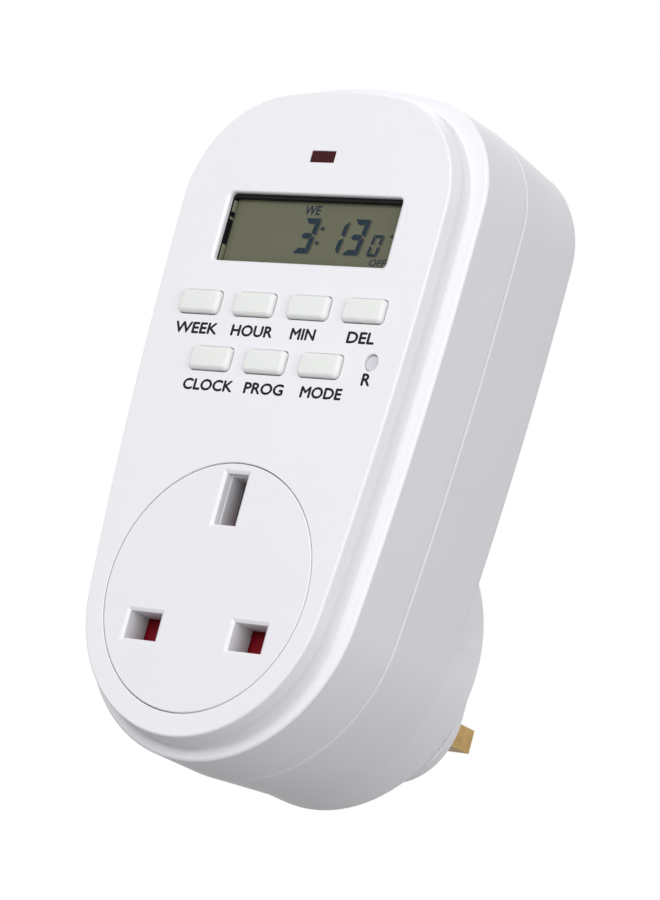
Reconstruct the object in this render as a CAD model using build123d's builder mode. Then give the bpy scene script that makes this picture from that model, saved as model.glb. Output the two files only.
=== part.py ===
"""Plug-in digital timer switch for 13 A sockets, built as separate moulded, stamped and turned pieces.

Frame: the flat plug base lies in the plane Y = 0 and faces +Y, where the three pins point. The front
face looks along -Y. X runs across the width and Z along the height. Z = 0 is the line through the live
and neutral pins, so the origin lies on the plug base, midway between those two pins. Millimetres.
"""

import os
from math import atan2, cos, degrees, radians, sin, sqrt

from build123d import *

os.makedirs("parts", exist_ok=True)

# ---------------------------------------------------------------- depths, front to back
body_depth = 41.6  # front face to plug base
face_step = 4.9  # front face to the stepped rim
face_draft_depth = 2.1  # upper, drafted part of that step
front_shell_depth = 16.0  # front face to the seam
back_plane_depth = 33.4  # front face to the flat back of the housing
plug_plate_thickness = 1.8
face_y = -body_depth
rim_y = face_y + face_step
seam_y = face_y + front_shell_depth
back_y = face_y + back_plane_depth
boss_y = -plug_plate_thickness

# ---------------------------------------------------------------- outlines (half width, top, bottom)
face_half_width = 27.9
face_top = 92.5
face_chin_margin = 4.0  # face below the socket insert
face_draft = 0.45  # growth of the face block over its drafted part
body_half_width = 31.2  # rim and seam
body_top = 95.0
rim_chin_margin = 2.6  # rim below the face
rear_draft = 1.4  # how far the rear shell draws in from the seam to its back
crown_radius = 78.0  # shallow arc across the top
shoulder_radius = 18.5  # top corners
chin_gap = 3.3  # how much the bottom radius is less than the half width

# ---------------------------------------------------------------- walls and edges
wall = 2.0
face_wall = 2.2
rim_edge = 0.35
face_edge = 0.25
back_edge_radius = 1.5
back_edge_steps = 2
seam_bevel = 0.3  # on both shells, along the seam
lip_height = 1.6
lip_thickness = 0.9
lip_clearance = 0.1

# ---------------------------------------------------------------- plug: pins, boss, base plate
pin_pitch = 22.2  # live to neutral, and their line to the earth pin
line_pin_width = 6.35
line_pin_height = 4.0
line_pin_length = 17.7
earth_pin_width = 4.0
earth_pin_height = 8.0
earth_pin_length = 22.7
pin_tip_bevel = 1.2
sleeve_length = 9.5
sleeve_thickness = 0.5
pin_head_margin = 1.3
pin_head_thickness = 1.5
boss_rise = 12.3  # top of the boss above the middle of the earth pin
boss_margin = 0.1  # back of the housing below the boss
boss_edge = 0.5
base_wall = 3.0  # plug base plate with the boss floor behind it
plate_side_margin = 2.1  # boss beside the plate
plate_chin_margin = 6.5  # boss below the plate
plate_corner_radius = 12.0
plate_edge = 0.25

# ---------------------------------------------------------------- socket outlet
insert_margin = 1.57  # face of the insert outside the corners of the earth slot
insert_gap = 0.15
insert_thickness = 5.1
insert_flange = 1.1  # how far the retaining flange stands out behind the face wall
insert_edge_bevel = 0.15
line_slot_width = 6.8
line_slot_height = 4.65
earth_slot_width = 4.5
earth_slot_height = 8.6
slot_bevel_width = 0.5
slot_bevel_depth = 0.22
insert_pilot_floor = 1.3  # face left in front of the insert's screw holes
earth_slot_depth = 1.5  # depth of the earth slot before it closes in
earth_lead_depth = 0.25  # bevel that leads a pin into the narrower throat
earth_lead_width = 0.15

# ---------------------------------------------------------------- shutter behind the slots
shutter_space = 2.2  # between the insert and the contact block
shutter_gap = 0.2
shutter_thickness = 1.6
shutter_travel = 5.2
shutter_half_width = 15.4
shutter_half_height = 3.1
stem_half_width = 4.2
ramp_half_width = 2.6
ramp_depth = 3.4
ramp_thickness = 1.9
stem_cap = 1.8
guide_gap = 0.25
guide_width = 1.2
spring_wire = 0.4
spring_radius = 0.8
spring_turns = 4
spring_seat_height = 0.9
spring_seat_inset = 0.1  # seat above the bottom of the contact block
spring_seat_width = 4.0

# ---------------------------------------------------------------- contact block and its clips
block_inset = 0.8  # how much the block's radius is less than the insert's
block_length = 14.1
block_head_half_width = 6.5
block_head_cap = 3.6  # top of the block over the earth pocket
block_head_corner = 0.8
line_pocket_width = 7.8
line_pocket_height = 9.0
earth_pocket_width = 7.4
earth_pocket_below = 6.4  # middle of the earth pin to the ends of its pocket
earth_pocket_above = 7.8
clip_leaf = 0.7
clip_back = 0.8
clip_width = 5.6
clip_length = 12.3
clip_throat = 3.7
clip_back_gap = 4.7
clip_mouth = 5.6
clip_lip = 2.4  # length of the flared lips
clip_bend = 0.8
earth_clip_width = 7.0
earth_clip_frame = 1.0
pad_radius = 1.8
foot_size = 2.2
foot_x = 6.0
foot_inset = 2.4  # middle of a foot above the bottom of the block
push_post_width = 2.4
push_post_height = 4.0
push_post_inset = 2.4
push_post_z = 6.0

# ---------------------------------------------------------------- display window and lamp
window_width = 36.4
window_height = 11.3
window_x = 0.4
window_z = 68.15
window_corner = 0.8
window_bevel_width = 0.55
window_bevel_depth = 0.3
window_lip = 1.1  # thickness of the face wall round the window
glass_depth = 2.1  # front face to the display glass
glass_thickness = 1.8
glass_margin_x = 1.8
glass_margin_z = 2.0
frame_gap = 0.05
lamp_width = 5.1
lamp_height = 2.0
lamp_x = -0.3
lamp_z = 81.0
lamp_gap = 0.05
lamp_recess = 0.15
lamp_flange = 0.7
lamp_flange_thickness = 0.8

# ---------------------------------------------------------------- keys
key_width = 8.4
key_height = 3.95
key_corner = 0.8
key_gap = 0.15
key_rise = 0.9  # above the front face
key_edge = 0.4
key_flange = 0.6
key_flange_thickness = 0.9
key_flange_gap = 0.05
key_travel = 0.8
key_pitch = 11.57
upper_row_x = -17.55  # first key of the row of four
upper_row_z = 55.0
lower_row_x = -11.95  # first key of the row of three
lower_row_z = 45.4
reset_x = 21.1
reset_z = 46.55
reset_hole_radius = 1.45
reset_gap = 0.1
reset_recess = 0.5
reset_travel = 0.6
key_stem_width = 5.0
key_stem_height = 2.4
reset_stem_size = 1.6
reset_flange = 0.8
dome_height = 1.0
dome_size = 3.6
dome_edge = 0.6  # bevel round the top of a dome
dome_clearance = 0.1
mat_thickness = 1.2
mat_half_width = 22.7
mat_bottom = 42.6
mat_top = 57.9
mat_corner = 1.5

# ---------------------------------------------------------------- boards
board_thickness = 1.6
display_board_depth = 6.8  # front face to the front of the control board
display_board_half_width = 23.0
display_board_bottom = 38.0
display_board_top = 83.4
display_board_corner = 8.0
power_board_half_width = 22.0
power_board_bottom = 38.0
power_board_top = 82.0
power_board_standoff = 3.0
power_board_corner = 4.0
strip_thickness = 1.0
strip_width = 5.0
strip_bend = 1.2
strip_landing = 5.6  # length of a busbar that lies on a board
riser_wall_gap = 1.7  # busbars that rise out of the boss, to its wall
relay_width = 15.6
relay_height = 19.0
relay_depth = 14.4
relay_x = -8.0
relay_z = 60.0
film_width = 13.0
film_height = 18.0
film_depth = 7.5
film_x = 10.5
film_z = 57.0
smoothing_radius = 4.0
smoothing_length = 11.0
smoothing_x = -11.0
smoothing_z = 75.5
varistor_radius = 5.0
varistor_thickness = 3.4
varistor_x = 8.0
varistor_z = 73.5
lead_length = 1.5
lead_size = 0.7
lead_pitch = 5.0
component_edge = 0.4
cell_radius = 7.8
cell_thickness = 5.4
cell_x = 10.0
cell_z = 61.0
processor_radius = 5.0
processor_height = 1.2
processor_x = -12.5
processor_z = 45.2
crystal_radius = 1.0
crystal_length = 6.0
crystal_x = -3.0
crystal_z = 44.4
zebra_width = 34.0
zebra_depth = 2.0
zebra_gap = 0.1
zebra_z = 62.6
holder_wall = 0.9
led_width = 3.6
led_height = 1.6
link_pins = 5
link_pitch = 2.54
link_pin_size = 0.64
link_bar_size = 2.5
board_link_z = 41.5

# ---------------------------------------------------------------- fasteners
fastener_sides = 12  # flats round the screws and their pilot holes
post_radius = 3.0
screw_radius = 1.3
screw_length = 15.0
screw_head_radius = 2.1
screw_head_height = 1.7
thread_gap = 0.05
pilot_spare = 0.5  # depth of a pilot hole past the screw's tip
well_radius = 2.4
well_wall = 1.2
chin_well_wall = 0.8
well_floor = 1.6
upper_screw_x = 15.0
upper_screw_z = 87.0
head_plane_depth = 22.0  # front face to the seats of the upper screw heads
chin_screw_rise = 4.8  # above the bottom of the housing
chin_post_radius = 2.3
chin_head_depth = 23.6
chin_rib = 1.8
small_screw_radius = 0.8
small_head_radius = 1.5
small_head_height = 1.0
small_screw_length = 5.6
small_post_radius = 1.8
insert_screw_inset = 3.05  # from the edge of the contact block
insert_screw_angle = 22.9  # above the horizontal through the socket's centre
insert_screw_length = 8.6
insert_screw_seat = 3.4  # thickness of the block under the insert screw heads
screw_head_gap = 0.25
board_screw_x = 20.0
board_screw_z = 40.2
board_top_screw_x = 18.0
board_top_screw_z = 79.6
power_screw_x = 18.6
power_screw_z = 42.4
power_top_screw_z = 77.6

# ---------------------------------------------------------------- places worked out from the sizes above
earth_z = pin_pitch
line_x = pin_pitch / 2
earth_pin_low = earth_z - earth_pin_height / 2
insert_centre_z = pin_pitch / 3  # middle of the triangle of pins
insert_reach_z = earth_z + earth_slot_height / 2 - insert_centre_z
insert_radius = sqrt(insert_reach_z**2 + (earth_slot_width / 2) ** 2) + insert_margin
face_bottom = insert_centre_z - insert_radius - face_chin_margin
body_bottom = face_bottom - rim_chin_margin
boss_bottom = body_bottom + rear_draft + boss_margin
boss_radius = (earth_z + boss_rise - boss_bottom) / 2
boss_centre_z = boss_bottom + boss_radius
plate_half_width = boss_radius - plate_side_margin
plate_bottom = boss_bottom + plate_chin_margin
block_radius = insert_radius - block_inset
block_bottom = insert_centre_z - block_radius
earth_pocket_bottom = earth_z - earth_pocket_below
earth_pocket_top = earth_z + earth_pocket_above
block_head_top = earth_pocket_top + block_head_cap
foot_z = block_bottom + foot_inset
push_post_x = block_radius - push_post_inset
spring_seat_z = block_bottom + spring_seat_inset + spring_seat_height
spring_length = -shutter_half_height - spring_seat_z
insert_screw_reach = block_radius - insert_screw_inset
insert_screw_x = insert_screw_reach * cos(radians(insert_screw_angle))
insert_screw_z = insert_centre_z + insert_screw_reach * sin(radians(insert_screw_angle))
chin_screw_z = body_bottom + chin_screw_rise
face_back_y = face_y + face_wall
insert_back_y = face_y + insert_thickness
shutter_y = insert_back_y + shutter_gap
shutter_back_y = shutter_y + shutter_thickness
block_front_y = insert_back_y + shutter_space
block_back_y = block_front_y + block_length
base_inner_y = -base_wall
head_back_y = base_inner_y - pin_head_thickness
back_inner_y = back_y - wall
display_front_y = face_y + display_board_depth
display_back_y = display_front_y + board_thickness
power_back_y = back_inner_y - power_board_standoff
power_front_y = power_back_y - board_thickness
glass_y = face_y + glass_depth
glass_back_y = glass_y + glass_thickness
mat_y = display_front_y - mat_thickness
dome_y = mat_y - dome_height
key_flange_y = face_back_y + key_flange_gap
head_y = face_y + head_plane_depth
chin_head_y = face_y + chin_head_depth
lip_end_y = seam_y - lip_height - lip_clearance
housing_screw_spots = (
    (-upper_screw_x, upper_screw_z, head_y),
    (upper_screw_x, upper_screw_z, head_y),
    (0, chin_screw_z, chin_head_y),
)
board_screw_spots = ((-board_screw_x, board_screw_z), (board_top_screw_x, board_top_screw_z))
power_screw_spots = ((power_screw_x, power_screw_z), (-power_screw_x, power_top_screw_z))
upper_keys = ("key_week", "key_hour", "key_min", "key_del")
lower_keys = ("key_clock", "key_prog", "key_mode")
key_spots = {name: (upper_row_x + key_pitch * i, upper_row_z) for i, name in enumerate(upper_keys)}
key_spots |= {name: (lower_row_x + key_pitch * i, lower_row_z) for i, name in enumerate(lower_keys)}
slot_spots = (
    (-line_x, 0.0, line_slot_width, line_slot_height),
    (line_x, 0.0, line_slot_width, line_slot_height),
    (0.0, earth_z, earth_slot_width, earth_slot_height),
)


def facing_front(y):
    """Plane at depth y that looks along -Y, with X to the right and Z up."""
    return Plane.XZ.offset(-y)


def housing_outline(y, half_width, top, bottom, inset=0.0):
    """Closed outline of the housing: shallow crown, round shoulders, bowed sides and a round chin."""
    crown = crown_radius - inset
    shoulder = shoulder_radius - inset
    half = half_width - inset
    chin = half_width - chin_gap - inset
    crown_z = top - crown_radius
    shoulder_x = half_width - shoulder_radius
    shoulder_z = crown_z + sqrt((crown_radius - shoulder_radius) ** 2 - shoulder_x**2)
    chin_z = bottom + half_width - chin_gap
    drop = shoulder_z - chin_z
    side = (half_width**2 + drop**2 - (half_width - chin_gap) ** 2) / (2 * chin_gap)
    side_x = half_width - side
    crown_end = Vector(shoulder_x, shoulder_z - crown_z).normalized() * crown + Vector(0, crown_z)
    side_end = Vector(-side_x, chin_z - shoulder_z).normalized() * (side - inset)
    side_end += Vector(side_x, shoulder_z)
    with BuildSketch(facing_front(y)) as sketch:
        with BuildLine():
            RadiusArc((0, crown_z + crown), crown_end, crown)
            RadiusArc(crown_end, (half, shoulder_z), shoulder)
            RadiusArc((half, shoulder_z), side_end, side - inset)
            RadiusArc(side_end, (0, chin_z - chin), chin)
            mirror(about=Plane.YZ)
        make_face()
    return sketch.sketch


def face_outline(y, inset=0.0):
    return housing_outline(y, face_half_width, face_top, face_bottom, inset)


def body_outline(y, inset=0.0):
    return housing_outline(y, body_half_width, body_top, body_bottom, inset)


def disc(y, radius, x=0.0, z=0.0):
    """Round profile at depth y."""
    with BuildSketch(facing_front(y)) as sketch:
        with Locations((x, z)):
            Circle(radius)
    return sketch.sketch


def screw_round(y, radius, x, z, across_corners=True):
    """Profile of a screw, measured across its corners, or of its hole, measured across its flats."""
    with BuildSketch(facing_front(y)) as sketch:
        with Locations((x, z)):
            RegularPolygon(radius, fastener_sides, major_radius=across_corners)
    return sketch.sketch


def pilot(y, radius, x, z, depth):
    """Cut the hole that a screw of this radius goes into, from plane y to the front."""
    slab(screw_round(y, radius + thread_gap, x, z, across_corners=False), depth, Mode.SUBTRACT)


def block(y, width, height, x=0.0, z=0.0, corner=0.0):
    """Rectangular profile at depth y, with rounded corners where a radius is given."""
    with BuildSketch(facing_front(y)) as sketch:
        with Locations((x, z)):
            if corner:
                RectangleRounded(width, height, corner)
            else:
                Rectangle(width, height)
    return sketch.sketch


def slab(profile, thickness, mode=Mode.ADD):
    """Extrude a profile forward from its own plane, towards the front face."""
    return extrude(to_extrude=profile, amount=thickness, mode=mode)


def drafted(profile, depth, draw_in, mode=Mode.ADD):
    """Extrude a profile by depth, forward or, when negative, back, drawing in evenly by draw_in."""
    return extrude(to_extrude=profile, amount=depth, taper=degrees(atan2(draw_in, abs(depth))), mode=mode)


def bevelled_mouth(y, width, height, x, z, corner, side, depth):
    """Wide and narrow outlines of the bevel round an opening, for a loft that cuts it."""
    wide = block(y, width + 2 * side, height + 2 * side, x, z, corner + side)
    narrow = block(y + depth, width, height, x, z, corner)
    return [wide, narrow]


def plate_outline(y, inset=0.0):
    """Plug base plate: flat chin with round corners, upright sides and a round top."""
    half = plate_half_width - inset
    corner = plate_corner_radius - inset
    bottom = plate_bottom + inset
    with BuildSketch(facing_front(y)) as sketch:
        with BuildLine():
            Line((0, bottom), (half - corner, bottom))
            RadiusArc((half - corner, bottom), (half, bottom + corner), -corner)
            Line((half, bottom + corner), (half, boss_centre_z))
            RadiusArc((half, boss_centre_z), (0, boss_centre_z + half), -half)
            mirror(about=Plane.YZ)
        make_face()
    return sketch.sketch


def screw(y, x, z, radius, length, head_radius, head_height):
    """Pan-head screw whose head seats on plane y and whose shank points to the front."""
    slab(screw_round(y, radius, x, z), length)
    slab(screw_round(y + head_height, head_radius, x, z), head_height)


def small_screw(y, x, z, length):
    """Small pan-head screw of the kind that holds the boards and the insert."""
    screw(y, x, z, small_screw_radius, length, small_head_radius, small_head_height)


# ================================================================ housing
with BuildPart() as front_shell:
    # straight side wall from the bevelled seam to the rim
    drafted(body_outline(seam_y - seam_bevel), -seam_bevel, seam_bevel)
    slab(body_outline(seam_y - seam_bevel), seam_y - seam_bevel - rim_y - rim_edge)
    drafted(body_outline(rim_y + rim_edge), rim_edge, rim_edge)
    # raised face block: upright below, drafted above
    slab(face_outline(rim_y, -face_draft), face_step - face_draft_depth)
    drafted(face_outline(face_y + face_draft_depth, -face_draft), face_draft_depth - face_edge, face_draft)
    drafted(face_outline(face_y + face_edge), face_edge, face_edge)
    # cavity
    slab(face_outline(rim_y + wall, wall), face_step + wall - face_wall, Mode.SUBTRACT)
    slab(body_outline(seam_y, wall), seam_y - rim_y - wall, Mode.SUBTRACT)
    # step that takes the rear shell's lip
    slab(body_outline(seam_y, wall - lip_thickness), lip_height + lip_clearance, Mode.SUBTRACT)
    # screw posts
    for x, z, seat in housing_screw_spots:
        foot = face_back_y if z > 0 else rim_y + wall
        radius = post_radius if z > 0 else chin_post_radius
        slab(disc(seat - well_floor, radius, x, z), seat - well_floor - foot)
    with BuildSketch(facing_front(lip_end_y)):
        with Locations((0, chin_screw_z)):
            Rectangle(chin_rib, chin_screw_z - body_bottom - lip_thickness, align=(Align.CENTER, Align.MAX))
    extrude(amount=lip_end_y - rim_y - wall)
    for x, z, seat in housing_screw_spots:
        pilot(seat - well_floor, screw_radius, x, z, screw_length - well_floor + pilot_spare)
    for x, z in board_screw_spots:
        slab(disc(display_front_y, small_post_radius, x, z), display_front_y - face_back_y)
        pilot(display_front_y, small_screw_radius, x, z, small_screw_length)
    # round opening for the socket insert
    slab(disc(face_back_y, insert_radius + insert_gap, 0, insert_centre_z), face_wall, Mode.SUBTRACT)
    # display window with its bevel, and the thinned wall behind it
    window = (window_width, window_height, window_x, window_z, window_corner)
    slab(block(face_back_y, *window), face_wall, Mode.SUBTRACT)
    loft(sections=bevelled_mouth(face_y, *window, window_bevel_width, window_bevel_depth), mode=Mode.SUBTRACT)
    pocket_width = window_width + 2 * (glass_margin_x + frame_gap)
    pocket_height = window_height + 2 * (glass_margin_z + frame_gap)
    pocket = block(face_back_y, pocket_width, pocket_height, window_x, window_z)
    slab(pocket, face_wall - window_lip, Mode.SUBTRACT)
    # lamp slot, key openings and reset hole
    slab(block(face_back_y, lamp_width, lamp_height, lamp_x, lamp_z), face_wall, Mode.SUBTRACT)
    opening_width = key_width + 2 * key_gap
    opening_height = key_height + 2 * key_gap
    for x, z in key_spots.values():
        opening = block(face_back_y, opening_width, opening_height, x, z, key_corner + key_gap)
        slab(opening, face_wall, Mode.SUBTRACT)
    slab(disc(face_back_y, reset_hole_radius, reset_x, reset_z), face_wall, Mode.SUBTRACT)

with BuildPart() as rear_shell:
    # tapering tub behind the seam, with a soft rear edge
    drafted(body_outline(seam_y + seam_bevel), seam_bevel, seam_bevel)
    drafted(body_outline(seam_y + seam_bevel), seam_y + seam_bevel + back_edge_radius - back_y, rear_draft)
    for step in range(back_edge_steps):
        turn, next_turn = (radians(90 * (step + i) / back_edge_steps) for i in (0, 1))
        start_y = back_y - back_edge_radius * (1 - sin(turn))
        end_y = back_y - back_edge_radius * (1 - sin(next_turn))
        start_inset = rear_draft + back_edge_radius * (1 - cos(turn))
        end_inset = rear_draft + back_edge_radius * (1 - cos(next_turn))
        drafted(body_outline(start_y, start_inset), start_y - end_y, end_inset - start_inset)
    # round boss and plug base plate
    slab(disc(boss_y, boss_radius, 0, boss_centre_z), boss_y - back_inner_y)
    chamfer(rear_shell.edges().group_by(Axis.Y)[-1], boss_edge)
    slab(plate_outline(0), plug_plate_thickness)
    chamfer(rear_shell.edges().group_by(Axis.Y)[-1], plate_edge)
    # cavity, and the hollow inside the boss
    drafted(body_outline(seam_y, wall), seam_y - back_inner_y, rear_draft, Mode.SUBTRACT)
    boss_hollow = disc(base_inner_y, boss_radius - wall, 0, boss_centre_z)
    slab(boss_hollow, base_inner_y - back_inner_y, Mode.SUBTRACT)
    # lip that enters the front shell
    slab(body_outline(seam_y, wall - lip_thickness + lip_clearance), lip_height)
    slab(body_outline(seam_y, wall), lip_height, Mode.SUBTRACT)
    # screw wells
    for x, z, seat in housing_screw_spots:
        back = back_y if z > 0 else boss_y
        thickness = well_wall if z > 0 else chin_well_wall
        slab(disc(back, well_radius + thickness, x, z), back - seat + well_floor)
    slab(body_outline(seam_y, wall), lip_height, Mode.SUBTRACT)
    for x, z, seat in housing_screw_spots:
        back = back_y if z > 0 else boss_y
        slab(disc(back, well_radius, x, z), back - seat, Mode.SUBTRACT)
        pilot(seat, screw_radius, x, z, well_floor)
    # posts that press the contact block forward, and standoffs for the power board
    for side in (-1, 1):
        post = block(base_inner_y, push_post_width, push_post_height, side * push_post_x, push_post_z)
        slab(post, base_inner_y - block_back_y)
    for x, z in power_screw_spots:
        slab(disc(back_inner_y, small_post_radius, x, z), power_board_standoff)
        pilot(back_inner_y, small_screw_radius, x, z, power_board_standoff)
    # holes for the plug pins
    for x in (-line_x, line_x):
        slab(block(0, line_pin_width, line_pin_height, x, 0), base_wall, Mode.SUBTRACT)
    slab(block(0, earth_pin_width, earth_pin_height, 0, earth_z), base_wall, Mode.SUBTRACT)

# ================================================================ socket outlet and shutter
with BuildPart() as socket_insert:
    slab(disc(insert_back_y, insert_radius, 0, insert_centre_z), insert_thickness)
    chamfer(socket_insert.edges().group_by(Axis.Y)[0], insert_edge_bevel)
    retaining_flange = disc(insert_back_y, insert_radius + insert_flange, 0, insert_centre_z)
    slab(retaining_flange, insert_back_y - face_back_y)
    for x, z, width, height in slot_spots[:2]:
        slab(block(insert_back_y, width, height, x, z), insert_thickness, Mode.SUBTRACT)
    # the earth slot closes in to a throat
    lead_y = face_y + earth_slot_depth
    throat_y = lead_y + earth_lead_depth
    throat_size = (earth_slot_width - 2 * earth_lead_width, earth_slot_height - 2 * earth_lead_width)
    slab(block(lead_y, earth_slot_width, earth_slot_height, 0, earth_z), earth_slot_depth, Mode.SUBTRACT)
    slab(block(insert_back_y, *throat_size, 0, earth_z), insert_thickness, Mode.SUBTRACT)
    tapers = [(lead_y, throat_y, earth_slot_width, earth_slot_height, earth_lead_width, 0, earth_z)]
    for x, z, width, height in slot_spots:
        mouth_size = (width + 2 * slot_bevel_width, height + 2 * slot_bevel_width)
        tapers.append((face_y, face_y + slot_bevel_depth, *mouth_size, slot_bevel_width, x, z))
    for wide_y, narrow_y, width, height, side, x, z in tapers:
        wide = block(wide_y, width, height, x, z)
        loft(sections=[wide, block(narrow_y, width - 2 * side, height - 2 * side, x, z)], mode=Mode.SUBTRACT)
    for side in (-1, 1):
        depth = insert_thickness - insert_pilot_floor
        pilot(insert_back_y, small_screw_radius, side * insert_screw_x, insert_screw_z, depth)

with BuildPart() as shutter:
    # cross bar that closes the line slots, and the stem up to the earth slot
    slab(block(shutter_back_y, 2 * shutter_half_width, 2 * shutter_half_height), shutter_thickness)
    window_low = earth_pin_low
    window_high = earth_pin_low + shutter_travel + earth_pin_height + shutter_gap
    with BuildSketch(facing_front(shutter_back_y)):
        with BuildLine():
            Polyline(
                (-stem_half_width, 0),
                (-stem_half_width, window_high + stem_cap),
                (stem_half_width, window_high + stem_cap),
                (stem_half_width, 0),
                close=True,
            )
        make_face()
        with Locations((0, (window_low + window_high) / 2)):
            Rectangle(2 * ramp_half_width, window_high - window_low, mode=Mode.SUBTRACT)
    extrude(amount=shutter_thickness)
    # ramp that the earth pin pushes down
    with BuildSketch(Plane.YZ.offset(-ramp_half_width)):
        with BuildLine():
            Polyline(
                (shutter_y, window_low - ramp_thickness),
                (shutter_y, window_low),
                (shutter_y + ramp_depth, window_low + shutter_travel),
                (shutter_y + ramp_depth, window_low + shutter_travel - ramp_thickness),
                (shutter_back_y, window_low - ramp_thickness),
                close=True,
            )
        make_face()
    extrude(amount=2 * ramp_half_width)

with BuildPart() as shutter_spring:
    spring_y = (shutter_y + shutter_back_y) / 2
    spring_low = spring_seat_z + spring_wire / 2
    coil_height = spring_length - spring_wire
    with BuildLine() as coil:
        Helix(coil_height / spring_turns, coil_height, spring_radius, center=(0, spring_y, spring_low))
    with BuildSketch(Plane(coil.line @ 0, z_dir=coil.line % 0)):
        RegularPolygon(spring_wire / 2, 6)
    sweep(path=coil.line, is_frenet=True)

with BuildPart() as contact_block:
    slab(disc(block_back_y, block_radius, 0, insert_centre_z), block_length)
    with BuildSketch(facing_front(block_back_y)):
        with Locations((0, insert_centre_z)):
            head_height = block_head_top - insert_centre_z
            Rectangle(2 * block_head_half_width, head_height, align=(Align.CENTER, Align.MIN))
    extrude(amount=block_length)
    fillet(contact_block.edges().filter_by(Axis.Y).sort_by(Axis.Z)[-2:], block_head_corner)
    # feet that hold the insert clear of the shutter, guides for the stem and the spring seat
    for side in (-1, 1):
        slab(disc(block_front_y, pad_radius, side * insert_screw_x, insert_screw_z), shutter_space)
        slab(block(block_front_y, foot_size, foot_size, side * foot_x, foot_z), shutter_space)
        guide_x = side * (stem_half_width + guide_gap + guide_width / 2)
        guide_low = shutter_half_height + guide_width
        guide_high = earth_z + earth_slot_height
        guide_z = (guide_low + guide_high) / 2
        guide = block(block_front_y, guide_width, guide_high - guide_low, guide_x, guide_z)
        slab(guide, shutter_space - shutter_gap)
    seat_middle = spring_seat_z - spring_seat_height / 2
    seat = block(block_front_y, spring_seat_width, spring_seat_height, 0, seat_middle)
    slab(seat, shutter_space - shutter_gap)
    # pockets for the three clips, and room for the ramp
    for x in (-line_x, line_x):
        slab(block(block_back_y, line_pocket_width, line_pocket_height, x), block_length, Mode.SUBTRACT)
    earth_pocket = block(
        block_back_y,
        earth_pocket_width,
        earth_pocket_top - earth_pocket_bottom,
        0,
        (earth_pocket_top + earth_pocket_bottom) / 2,
    )
    slab(earth_pocket, block_length, Mode.SUBTRACT)
    ramp_room_low = window_low - ramp_thickness - shutter_travel - guide_gap
    ramp_room = block(
        block_front_y + ramp_depth - shutter_space + 2 * shutter_gap,
        2 * (ramp_half_width + guide_gap),
        earth_pocket_bottom - ramp_room_low,
        0,
        (earth_pocket_bottom + ramp_room_low) / 2,
    )
    slab(ramp_room, ramp_depth - shutter_space + 2 * shutter_gap, Mode.SUBTRACT)
    # screws to the insert, sunk from behind
    for side in (-1, 1):
        x = side * insert_screw_x
        counterbore = disc(block_back_y, small_head_radius + screw_head_gap, x, insert_screw_z)
        slab(counterbore, block_length - insert_screw_seat, Mode.SUBTRACT)
        pilot(block_back_y, small_screw_radius, x, insert_screw_z, block_length + shutter_space)


def bent_strip(x, points, width, thickness, bend):
    """Strip that follows points of depth and height in the plane at x, bent round at every corner."""
    with BuildLine(Plane.YZ.offset(x)) as route:
        FilletPolyline(*points, radius=bend)
    with BuildSketch(Plane(route.line @ 0, x_dir=(1, 0, 0), z_dir=route.line % 0)) as section:
        Rectangle(width, thickness)
    sweep(sections=section.sketch, path=route.line)


def line_clip(x):
    """Sprung U clip that grips a flat line pin from above and below."""
    back = block_back_y - clip_back / 2
    mouth = back - clip_length
    throat = (clip_throat + clip_leaf) / 2
    root = (clip_back_gap + clip_leaf) / 2
    lip = (clip_mouth + clip_leaf) / 2
    upper = [(mouth, lip), (mouth + clip_lip, throat), (back - clip_back, root), (back, root)]
    lower = [(y, -z) for y, z in reversed(upper)]
    corners = [upper[0], upper[1], upper[3], lower[0], lower[2], lower[3]]
    bent_strip(x, corners, clip_width, clip_leaf, clip_bend)


with BuildPart() as contact_live:
    line_clip(line_x)

with BuildPart() as contact_neutral:
    line_clip(-line_x)

with BuildPart() as contact_earth:
    # framed back that the earth pin passes through
    frame_width = earth_clip_width - clip_leaf
    frame_low = earth_pin_low - shutter_gap - earth_clip_frame
    frame_high = earth_pocket_top - shutter_gap
    frame = block(block_back_y, frame_width, frame_high - frame_low, 0, (frame_low + frame_high) / 2)
    slab(frame, clip_back)
    opening = block(block_back_y, earth_slot_width, earth_slot_height - shutter_gap, 0, earth_z)
    slab(opening, clip_back, Mode.SUBTRACT)
    # two leaves on the pin's flat sides
    back = block_back_y - clip_back / 2
    with BuildLine(Plane.XY.offset(earth_z)) as leaf:
        FilletPolyline(
            ((frame_width - clip_leaf) / 2, back),
            ((clip_throat + clip_leaf) / 2, back - clip_length + clip_lip),
            ((clip_mouth + clip_leaf) / 2, back - clip_length),
            radius=clip_bend,
        )
    with BuildSketch(Plane(leaf.line @ 0, x_dir=(0, 0, 1), z_dir=leaf.line % 0)):
        Rectangle(earth_clip_width, clip_leaf)
    sweep(path=leaf.line)
    mirror(about=Plane.YZ)

def export(builder, name):
    """Label a finished piece and write it to its own file."""
    builder.part.label = name
    export_step(builder.part, f"parts/{name}.step")


# ================================================================ plug pins
neck_width = line_pin_width - 2 * sleeve_thickness
neck_height = line_pin_height - 2 * sleeve_thickness

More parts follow.
